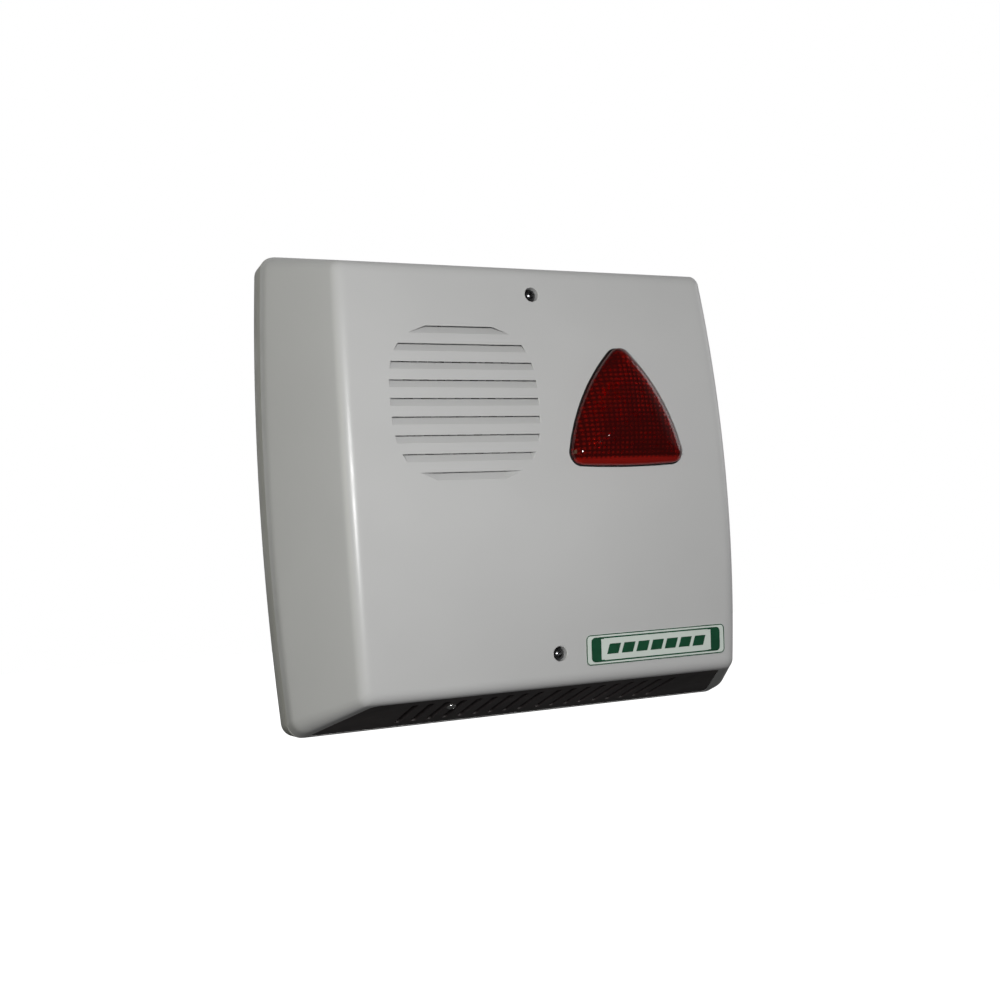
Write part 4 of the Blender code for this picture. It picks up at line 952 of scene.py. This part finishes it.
def make_badge():
    half_w, half_h = BADGE_W / 2, BADGE_H / 2
    face, ink = 0.55 * MM, 0.62 * MM
    badge_plate("badge_plate", "badge_film", half_w, half_h, 2.5 * MM, 0.3 * MM, face, ("badge_label",))
    badge_frame("badge_border", half_w - 0.1 * MM, half_h - 0.1 * MM, 2.4 * MM, 0.5 * MM, face, ink)
    for side in (-1, 1):
        badge_patch("badge_bracket_%s" % ("left" if side < 0 else "right"), bracket_points(side), face, ink)
    badge_frame("badge_plaque", 38.9 * MM, 6.3 * MM, 2.3 * MM, 0.75 * MM, face, ink)
    lean, half, tall, pitch = 0.9 * MM, 3.3 * MM, 2.6 * MM, 8.6 * MM
    for number in range(7):
        middle = (number - 3) * pitch
        points = [(middle - half - lean, -tall), (middle + half - lean, -tall), (middle + half + lean, tall),
                  (middle - half + lean, tall)]
        badge_patch("badge_bar_%d" % (number + 1), points, face, ink)


def bracket_points(side):
    """A thick C that hugs one end of the plaque."""
    outer_w, outer_h, thick, arm = 38.8 * MM, 6.2 * MM, 5.6 * MM, 0.9 * MM
    reach, corner, steps = 31.5 * MM, 2.2 * MM, 8
    points = [(reach, outer_h)]
    for sz, start in ((1, 90.0), (-1, 0.0)):
        for step in range(steps + 1):
            angle = math.radians(start - 90.0 * step / steps)
            points.append((outer_w - corner + corner * math.cos(angle), sz * (outer_h - corner)
                           + corner * math.sin(angle)))
    points += [(reach, -outer_h), (reach, -outer_h + arm), (outer_w - thick, -outer_h + arm),
               (outer_w - thick, outer_h - arm), (reach, outer_h - arm)]
    return [(side * x, z) for x, z in points]


# Base

# Posts on the tray's floor in millimetres: where, radius and front, then their hole's radius, back and front
POSTS = (
    ([(x * MM, z * MM) for x in (12.5, 103.5) for z in (-8.5, 81.5)], (3.5, -12.1), (1.6, -5.0, -14.0)),
    ([(HORN_X, HORN_Z + drop * MM) for drop in (-38, 38)], (4.0, -7.7), (2.0, -4.0, -9.0)),
    ([(-55 * MM, z * MM) for z in (-93.5, -15.5)], (4.0, -6.7), (2.0, -3.4, -8.0)),
)
WALL_HOLES = [(sx * 104 * MM, sz * 102 * MM) for sx in (-1, 1) for sz in (-1, 1)]
CABLE_X, CABLE_Z, CABLE_HOLE_RADIUS = -106 * MM, 4 * MM, 9 * MM
WALL_PIN_X, WALL_PIN_Z, WALL_PIN_HOLE_RADIUS = 96 * MM, 20 * MM, 3 * MM
FLOOR_PAD_RADIUS = 4 * MM


def make_base():
    def ring(inset, corner, y):
        return [(x, y, z) for x, z in outline(REAR_W / 2 - inset, REAR_H / 2 - inset, corner, REAR_BARREL)]

    land, groove = -BASE_DEPTH + 0.3 * MM, -13.2 * MM
    levels = (
        (3.0 * MM, RIM_CORNER - 3.0 * MM, 0.0), (1.0 * MM, RIM_CORNER - 1.0 * MM, 0.0),
        (0.3 * MM, RIM_CORNER - 0.3 * MM, -0.25 * MM),
        (0.0, RIM_CORNER, -1.0 * MM), (0.0, RIM_CORNER, -7 * MM), (0.0, RIM_CORNER, land + 0.4 * MM),
        (0.15 * MM, RIM_CORNER, land + 0.1 * MM), (0.4 * MM, RIM_CORNER, land),
        (0.8 * MM, REAR_CORNER - 0.8 * MM, land), (0.8 * MM, REAR_CORNER - 0.8 * MM, groove),
        (3.2 * MM, REAR_CORNER - 3.2 * MM, groove), (3.2 * MM, REAR_CORNER - 3.2 * MM, -BASE_WALL))
    tray = bmesh.new()
    add_loft(tray, [ring(*level) for level in levels])
    posts = bmesh.new()
    root = -BASE_WALL + 1 * MM
    for z in SCREW_HEIGHTS.values():
        add_turned(posts, 0.0, z, (
            (0.0, -TOWER_Y), (5.0 * MM, -TOWER_Y), (5.5 * MM, -TOWER_Y - 0.5 * MM), (5.5 * MM, 4.5 * MM),
            (7.0 * MM, 3.2 * MM), (7.0 * MM, -root), (0.0, -root)), 48)
    for places, (radius, front), _ in POSTS:
        for x, z in places:
            add_rod(posts, x, z, radius * MM, root, front * MM, 32)
    for x in (-60 * MM, 0.0, 60 * MM):
        add_box(posts, (x - 2 * MM, -6.7 * MM, -77 * MM), (x + 2 * MM, root, -27 * MM))
    for x in (-76 * MM, 76 * MM):
        add_box(posts, (x - 10 * MM, -38 * MM, -87.3 * MM), (x + 10 * MM, root, -84.3 * MM))
    tools = bmesh.new()
    for z in SCREW_HEIGHTS.values():
        add_rod(tools, 0.0, z, 2.4 * MM, -12 * MM, TOWER_Y - 1 * MM, 32)
    wall_hole = millimetres(((0.0, 5), (3.4, 5), (3.4, 0.5), (3.9, 0.0), (3.9, -1), (0.0, -1)))
    for x, z in WALL_HOLES:
        add_turned(tools, x, z, wall_hole, 40)
    add_rod(tools, CABLE_X, CABLE_Z, CABLE_HOLE_RADIUS, 1 * MM, -5 * MM, 48)
    add_rod(tools, WALL_PIN_X, WALL_PIN_Z, WALL_PIN_HOLE_RADIUS, 1 * MM, -5 * MM, 32)
    for places, _, (radius, back, front) in POSTS:
        for x, z in places:
            add_rod(tools, x, z, radius * MM, back * MM, front * MM, 24)
    for x in range(-90, 91, 45):
        for z in (-70, 66):
            add_rod(tools, x * MM, z * MM, FLOOR_PAD_RADIUS, 1 * MM, -0.25 * MM, 32)
    finish_piece("tray_moulding", baked(tray, posts, tools), "base_plastic", "base", ("base_tray",), 28)


# Inside

def middle_of(node):
    low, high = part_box(node)
    return (low[0] + high[0]) / 2, (low[2] + high[2]) / 2


def millimetres(profile):
    return [(radius * MM, height * MM) for radius, height in profile]


def turned_piece(node, name, profile, round_by, slot, body="base", steps=96):
    """A finer copy of a turned node; its profile is in millimetres in front of the wall."""
    x, z = middle_of(node)
    bm = bmesh.new()
    add_turned(bm, x, z, rounded(millimetres(profile), round_by * MM, 5), steps)
    finish_piece(name, bm, slot, body, (node,))


def make_horn():
    turned_piece("horn_flare", "flare_moulding", (
        (42.5, 61), (42.5, 59), (39, 57.4), (30, 49), (22, 38), (16.5, 30.6), (27, 30.6), (27, 28.6),
        (9, 28.6), (12, 33), (20.4, 39.4), (28.6, 50.4), (38, 59), (40, 61)), 4.0, "black_plastic")
    turned_piece("driver_housing", "housing_cup", (
        (0, 23), (22.5, 23), (22.5, 28.3), (27, 28.3), (27, 21.3), (0, 21.3)), 0.9, "plated_sheet")
    turned_piece("driver_magnet", "magnet_ring", (
        (0, 21), (23.5, 21), (24.5, 20), (24.5, 11), (23.5, 9.8), (0, 9.8)), 1.2, "ferrite")
    turned_piece("driver_diaphragm", "diaphragm_dome", (
        (0, 26.8), (6, 26.6), (10, 25.9), (21.5, 25.4), (21.5, 24.9), (10, 25.4), (6, 26.1), (0, 26.3)),
        2.0, "diaphragm_film", "diaphragm")
    plug = bmesh.new()
    profile = millimetres((
        (0, 52), (8, 50.6), (12.5, 46), (12.5, 43), (9, 38), (5, 33), (3.2, 28.5), (0, 27.6)))
    add_turned(plug, HORN_X, HORN_Z, rounded(profile, 3 * MM, 6), 96)
    fins = bmesh.new()
    for number in range(3):
        turn = Matrix.Rotation(math.tau * (number + 0.25) / 3, 4, "Y")
        add_box(fins, (6 * MM, -46 * MM, -0.8 * MM), (20.7 * MM, -40.5 * MM, 0.8 * MM),
                Matrix.Translation((HORN_X, 0.0, HORN_Z)) @ turn)
    finish_piece("phase_plug_moulding", baked(plug, fins), "black_plastic", "base", ("horn_phase_plug",))
    tags = bmesh.new()
    for drop in (-8 * MM, 8 * MM):
        add_box(tags, (HORN_X + 24.8 * MM, -24.4 * MM, HORN_Z + drop - 1.6 * MM),
                (HORN_X + 30.5 * MM, -23.6 * MM, HORN_Z + drop + 1.6 * MM))
    finish_piece("driver_tags", tags, "brass", "base")


def make_lamp():
    turned_piece("lamp_holder", "holder_moulding", (
        (0, 17), (5.2, 17), (5.2, 27), (6.2, 27), (8, 25.5), (8, 19), (7.4, 18.6), (7.4, 17.4), (8, 17),
        (8, 14.1), (0, 14.1)), 0.5, "white_plastic")
    turned_piece("bulb_cap", "bulb_cap_shell", (
        (0, 34), (4.5, 34), (4.7, 33.5), (4.7, 19), (2, 17.6), (0, 17.6)), 0.4, "brass")
    turned_piece("bulb_glass", "bulb_envelope", (
        (0, 55), (4.5, 53.6), (7.6, 49), (8, 45), (6.8, 40), (4.6, 36), (4.4, 34.3), (3.9, 34.3), (4.1, 36.1),
        (6.3, 40.2), (7.4, 45), (7.0, 48.8), (4.1, 53.1), (0, 54.4)), 2.4, "clear_glass")
    turned_piece("lamp_reflector", "reflector_bowl", (
        (25, 47), (19, 36), (12, 29.4), (9.6, 28.4), (9.6, 27.3), (6, 27.3), (6, 29.4), (10.6, 29.8),
        (17.8, 36.6), (23.6, 47)), 5.0, "reflector")
    x, z = middle_of("bulb_glass")
    filament = bmesh.new()
    add_box(filament, (x - 2.2 * MM, -44.3 * MM, z - 0.3 * MM), (x + 2.2 * MM, -43.7 * MM, z + 0.3 * MM))
    posts = bmesh.new()
    for side in (-1, 1):
        add_rod(posts, x + side * 1.6 * MM, z, 0.28 * MM, -34.4 * MM, -44.1 * MM, 12)
    finish_piece("bulb_filament", baked(filament, posts), "screw_steel", "base")


def make_small_turned_parts():
    turned_piece("smoothing_capacitor", "capacitor_sleeve", (
        (0, 38.1), (6.6, 38.1), (7.6, 37.9), (8, 37.1), (8, 36.2), (7.7, 35.6), (8, 35), (8, 14.1),
        (0, 14.1)), 0.3, "part_blue", steps=64)
    turned_piece("cable_grommet", "grommet_moulding", (
        (4.2, 6.5), (10.5, 5.2), (11.5, 3.3), (8.6, 3.3), (8.6, 0.2), (4.2, 0.2)), 0.7, "rubber")
    turned_piece("tamper_plunger", "plunger_moulding", (
        (0, 34.0), (3.6, 34.0), (4.2, 33.4), (4.2, 32.2), (1.7, 32.2), (1.7, 19.2), (0, 19.2)),
        0.35, "white_plastic", "plunger", 48)
    turned_piece("wall_tamper_pin", "wall_pin_moulding", (
        (0, 9.7), (2.0, 9.7), (2.0, 8.2), (4.2, 8.2), (4.2, 7.0), (2.6, 7.0), (2.6, 0.6), (2.1, 0.1),
        (0, 0.1)), 0.3, "white_plastic", "wall_pin", 48)
    x, z = middle_of("smoothing_capacitor")
    top = bmesh.new()
    add_can(top, x, z, 6.2 * MM, 37.9 * MM, 38.25 * MM, 0.1 * MM, 64)
    for half_w, half_h in ((4.6 * MM, 0.25 * MM), (0.25 * MM, 4.6 * MM)):
        groove = bmesh.new()
        add_box(groove, (x - half_w, -39 * MM, z - half_h), (x + half_w, -38.1 * MM, z + half_h))
        top = baked(top, None, groove)
    finish_piece("capacitor_top", top, "reflector", "base")
    cord = bmesh.new()
    rings = []
    sides = 10
    for step in range(sides):
        angle = math.tau * step / sides
        inset, y = (2.0 + 0.9 * math.cos(angle)) * MM, (-14.1 + 0.6 * math.sin(angle)) * MM
        rings.append([(px, y, pz) for px, pz in outline(REAR_W / 2 - inset, REAR_H / 2 - inset,
                                                        REAR_CORNER - inset, REAR_BARREL)])
    add_loft(cord, rings, close=True)
    finish_piece("seal_cord", cord, "rubber", "base", ("cover_seal",))


def make_fixing_screws():
    """Cross-head screws in place of the plain ones; the base's face the front, the cover's the wall."""
    counts = (("bracket_screw", 2, "base"), ("strap_screw", 2, "base"), ("board_screw", 4, "base"),
              ("guard_screw", 2, "cover"), ("lens_screw", 3, "cover"))
    for stem, count, body in counts:
        for number in range(1, count + 1):
            node = "%s_%d" % (stem, number)
            low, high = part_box(node)
            x, z = middle_of(node)
            head = (high[0] - low[0]) / 2
            length = high[1] - low[1]
            top = -low[1] if body == "base" else high[1]
            profile = ((0.0, top), (head * 0.5, top - 0.1 * MM), (head * 0.85, top - 0.5 * MM),
                       (head, top - 1.1 * MM), (head, top - 1.8 * MM), (1.2 * MM, top - 1.8 * MM),
                       (1.2 * MM, top - length), (0.0, top - length))
            facing = Matrix.Rotation(0.0 if body == "base" else math.pi, 4, "X")
            make_screw("fixing_" + node, 0.0, 0.0, profile, body, (node,), "screw_steel",
                       Matrix.Translation((x, 0.0, z)) @ facing, 0.9 * MM, head * 0.55)


def add_resistor(bodies, leads, x, face, z):
    lying = Matrix.Translation((x, face - 1.5 * MM, z)) @ Matrix.Rotation(math.pi / 2, 4, "Z")
    ends = ((0, 3), (1.0, 3), (1.25, 2.6), (1.25, 1.7), (1.0, 1.3))
    profile = millimetres(ends + tuple((radius, -height) for radius, height in reversed(ends)))
    add_turned(bodies, 0.0, 0.0, profile, 20, lying)
    for side in (-1, 1):
        add_box(leads, (x + side * 3.6 * MM - 0.75 * MM, face - 1.75 * MM, z - 0.25 * MM),
                (x + side * 3.6 * MM + 0.75 * MM, face - 1.25 * MM, z + 0.25 * MM))
        add_box(leads, (x + side * 4.6 * MM - 0.25 * MM, face - 1.75 * MM, z - 0.25 * MM),
                (x + side * 4.6 * MM + 0.25 * MM, face - 0.02 * MM, z + 0.25 * MM))


def add_legs(leads, x, z, half_w, half_h, count, face, rise):
    """Two rows of legs along the sides of a chip."""
    for number in range(count):
        leg_z = z + half_h * (2 * (number + 0.5) / count - 1)
        for side in (-1, 1):
            inner, outer = x + side * (half_w - 0.2 * MM), x + side * (half_w + 1.1 * MM)
            add_box(leads, (min(inner, outer), face - rise, leg_z - 0.35 * MM),
                    (max(inner, outer), face - rise + 0.5 * MM, leg_z + 0.35 * MM))
            add_box(leads, (outer - 0.25 * MM, face - rise, leg_z - 0.3 * MM),
                    (outer + 0.25 * MM, face - 0.02 * MM, leg_z + 0.3 * MM))


def make_board_details():
    """Resistors, chips and their legs, small capacitors, clamp screws and the fuse's caps."""
    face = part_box("circuit_board")[0][1]
    bodies, leads, chips, cans = (bmesh.new() for _ in range(4))
    for x, first_z, count in ((39, 62, 5), (93, 60, 5), (95, 26, 3), (34, 2.5, 3), (62, 4, 3)):
        for number in range(count):
            add_resistor(bodies, leads, x * MM, face, (first_z + 3.5 * number) * MM)
    half_w = 2.0
    for x, z, half_h, legs in ((70, 66, 3.6, 4), (86, 72, 4.4, 5), (66, 18, 3.6, 4)):
        add_box(chips, ((x - half_w) * MM, face - 1.9 * MM, (z - half_h) * MM),
                ((x + half_w) * MM, face - 0.3 * MM, (z + half_h) * MM))
        add_legs(leads, x * MM, z * MM, half_w * MM, half_h * MM, legs, face, 1.1 * MM)
    x, z = middle_of("micro_controller")
    add_legs(leads, x, z, 4.5 * MM, 10.4 * MM, 8, face, 2.2 * MM)
    for x, z in ((102.5, 62), (102.5, 69), (92, 14), (72, 50)):
        add_can(chips, x * MM, z * MM, 2.5 * MM, -face, 7 * MM - face, 0.3 * MM)
        add_can(cans, x * MM, z * MM, 2.0 * MM, 6.8 * MM - face, 7.1 * MM - face, 0.05 * MM)
    block_x, pitch = middle_of("terminal_block")[0], 5.3 * MM
    for number in range(9):
        x = block_x + (number - 4) * pitch
        clamp = bmesh.new()
        add_can(clamp, x, -6.2 * MM, 1.4 * MM, 7.1 * MM - face, 8.2 * MM - face, 0.2 * MM, 24)
        slit = bmesh.new()
        add_box(slit, (x - 2 * MM, face - 9 * MM, -6.5 * MM), (x + 2 * MM, face - 7.8 * MM, -5.9 * MM))
        finish_piece("clamp_screw_%d" % (number + 1), baked(clamp, None, slit), "screw_steel", "base")
    ends = bmesh.new()
    low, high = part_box("fuse")
    x, y = (low[0] + high[0]) / 2, (low[1] + high[1]) / 2
    for z in (low[2], high[2]):
        inward = math.copysign(5 * MM, (low[2] + high[2]) / 2 - z)
        upright = Matrix.Translation((x, y, z)) @ Matrix.Rotation(math.pi / 2, 4, "X")
        add_can(ends, 0.0, 0.0, 2.6 * MM, -inward * 0.02, inward, 0.3 * MM, 32, upright)
    finish_piece("fuse_caps", ends, "brass", "base")
    finish_piece("film_resistors", bodies, "part_blue", "base", sharp=60.0)
    finish_piece("solder_leads", leads, "screw_steel", "base")
    finish_piece("board_chips", chips, "black_plastic", "base")
    finish_piece("capacitor_cans", cans, "reflector", "base")


def make_battery_sticker():
    low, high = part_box("battery_case")
    front, middle_z = low[1], (low[2] + high[2]) / 2 - 2 * MM
    sticker = bmesh.new()
    add_prism(sticker, [(14 * MM + x, middle_z + z) for x, z in outline(52 * MM, 17 * MM, 3 * MM)],
              front + 0.1 * MM, front - 0.12 * MM)
    finish_piece("battery_sticker", sticker, "badge_film", "base")
    print_marks = bmesh.new()
    left = -48
    for right, bottom, top in ((48, 8, 13), (10, -1, 2), (22, -7, -4), (-4, -13, -10)):
        corners = ((left, bottom), (right, bottom), (right, top), (left, top))
        add_prism(print_marks, [((14 + x) * MM, middle_z + z * MM) for x, z in corners],
                  front - 0.1 * MM, front - 0.18 * MM)
    finish_piece("battery_print", print_marks, "badge_print", "base")


# Everything else keeps its CAD node, with a better material and softened edges

# Bevel widths in millimetres
SOFT_EDGES = {
    "battery_case": 0.6, "battery_lid": 0.6, "battery_terminal_pos": 0.2, "battery_terminal_neg": 0.2,
    "battery_strap": 0.35, "horn_bracket": 0.35, "horn_guard": 0.25, "circuit_board": 0.2,
    "terminal_block": 0.4, "relay": 0.6, "amplifier_transistor": 0.4, "heat_sink": 0.3,
    "micro_controller": 0.35, "fuse_holder": 0.35, "setting_jumper": 0.3, "tamper_switch": 0.4,
    "wall_tamper_switch": 0.4,
}


def dress_cad_nodes(replaced):
    slots = {row["node"]: row["material_slot"] for row in frame["record"]["subparts"]}
    for node, item in frame["nodes"].items():
        if node in replaced:
            continue
        item.data.materials.clear()
        item.data.materials.append(LOOKS[slots[node]])
        if node in SOFT_EDGES:
            soften = item.modifiers.new("soft_edges", "BEVEL")
            soften.width = SOFT_EDGES[node] * MM
            soften.segments = 3
            soften.limit_method = "ANGLE"
            soften.angle_limit = math.radians(40.0)
            soften.harden_normals = True


# Stage

GLOW_TOWARDS = (0.5, 0.85, -0.15)
AMBIENT, GLOW = 0.05, 0.85
FLOOR_Z, FLOOR_HALF = -0.9, 40.0


def make_stage():
    floor_mesh = bpy.data.meshes.new("studio_floor")
    bm = bmesh.new()
    bmesh.ops.create_grid(bm, x_segments=2, y_segments=2, size=FLOOR_HALF)
    bm.to_mesh(floor_mesh)
    bm.free()
    floor = bpy.data.objects.new("studio_floor", floor_mesh)
    floor.location = (0.0, 0.0, FLOOR_Z)
    look = Look("pale_floor", (0.86, 0.86, 0.86), 0.9, Emission_Strength=1.0)
    look.shader.inputs["Emission Color"].default_value = (1.0, 1.0, 1.0, 1.0)
    look.vary_colour(3.0, 0.01)
    floor_mesh.materials.append(look.material)
    floor.visible_diffuse = False
    floor.visible_glossy = False
    floor.visible_transmission = False
    bpy.context.scene.collection.objects.link(floor)
    make_world()


def make_world():
    """White to the camera; as a light, dim with a soft glow behind the object on its right."""
    world = bpy.data.worlds.new("studio")
    world.use_nodes = True
    bpy.context.scene.world = world
    nodes, links = world.node_tree.nodes, world.node_tree.links
    ambient = nodes["Background"]
    backdrop = nodes.new("ShaderNodeBackground")
    for background in (ambient, backdrop):
        background.inputs["Color"].default_value = (1.0, 1.0, 1.0, 1.0)
    direction = nodes.new("ShaderNodeTexCoord").outputs["Generated"]

    def fade(value, start, end, low, high):
        node = nodes.new("ShaderNodeMapRange")
        for socket, number in zip(("From Min", "From Max", "To Min", "To Max"), (start, end, low, high)):
            node.inputs[socket].default_value = number
        links.new(value, node.inputs["Value"])
        return node.outputs["Result"]

    facing = nodes.new("ShaderNodeVectorMath")
    facing.operation = "DOT_PRODUCT"
    facing.inputs[1].default_value = GLOW_TOWARDS
    links.new(direction, facing.inputs[0])
    split = nodes.new("ShaderNodeSeparateXYZ")
    links.new(direction, split.inputs["Vector"])
    sum_up = nodes.new("ShaderNodeMath")
    sum_up.operation = "MULTIPLY_ADD"
    links.new(fade(facing.outputs["Value"], -0.1, 1.0, 0.0, GLOW), sum_up.inputs[0])
    links.new(fade(split.outputs["Z"], -0.3, 0.1, 0.0, 1.0), sum_up.inputs[1])
    sum_up.inputs[2].default_value = AMBIENT
    links.new(sum_up.outputs["Value"], ambient.inputs["Strength"])
    path = nodes.new("ShaderNodeLightPath")
    mixer = nodes.new("ShaderNodeMixShader")
    links.new(path.outputs["Is Camera Ray"], mixer.inputs["Fac"])
    links.new(ambient.outputs["Background"], mixer.inputs[1])
    links.new(backdrop.outputs["Background"], mixer.inputs[2])
    links.new(mixer.outputs["Shader"], nodes["World Output"].inputs["Surface"])


def add_light(name, place, aim, size, power, colour=(1.0, 1.0, 1.0)):
    data = bpy.data.lights.new(name, "AREA")
    data.shape = "RECTANGLE"
    data.size, data.size_y = size
    data.energy = power
    data.color = colour
    lamp = bpy.data.objects.new(name, data)
    lamp.location = place
    lamp.rotation_euler = (Vector(aim) - Vector(place)).to_track_quat("-Z", "Y").to_euler()
    bpy.context.scene.collection.objects.link(lamp)


def make_lights():
    add_light("key", (-0.33, -0.82, 0.06), (-0.02, -0.06, 0.0), (0.16, 0.16), 5.65)
    add_light("side_fill", (-1.3, -0.45, 0.15), (-0.1, -0.03, 0.0), (0.5, 0.7), 1.3, (0.955, 1.0, 0.64))
    add_light("glint", (0.322, -0.825, -0.046), (0.035, -0.084, 0.012), (0.02, 0.02), 0.14)
    add_light("right_fill", (1.25, -0.24, 0.35), (0.0, -0.04, 0.0), (0.6, 0.7), 2.0)


def make_camera():
    """Left of the object and slightly below it, rolled a little, as the photographer stood."""
    azimuth, elevation, roll = (math.radians(value) for value in (-24.0, -5.15, -4.4))
    distance, side, lift = 686.4 * MM, 4.9 * MM, -5.8 * MM
    focal_share = 1.2137
    back = Vector((math.sin(azimuth) * math.cos(elevation), -math.cos(azimuth) * math.cos(elevation),
                   math.sin(elevation)))
    level = Vector((math.cos(azimuth), math.sin(azimuth), 0.0))
    upright = back.cross(level)
    right = math.cos(roll) * level + math.sin(roll) * upright
    up = math.cos(roll) * upright - math.sin(roll) * level
    data = bpy.data.cameras.new("photographer")
    data.sensor_width = 36.0
    data.lens = data.sensor_width * focal_share
    data.clip_start = 0.01
    camera = bpy.data.objects.new("photographer", data)
    spot = back * distance + right * side + up * lift
    camera.matrix_world = Matrix((
        (right.x, up.x, back.x, spot.x), (right.y, up.y, back.y, spot.y), (right.z, up.z, back.z, spot.z),
        (0.0, 0.0, 0.0, 1.0)))
    bpy.context.scene.collection.objects.link(camera)
    bpy.context.scene.camera = camera


LOOKS = make_looks()
REPLACED = set()
make_camera()
make_cover()
make_bottom_grille()
make_cover_screws()
make_lens()
make_badge()
make_base()
make_horn()
make_lamp()
make_small_turned_parts()
make_fixing_screws()
make_board_details()
make_battery_sticker()
dress_cad_nodes(REPLACED)
make_stage()
make_lights()
bpy.context.scene.view_settings.view_transform = "Standard"
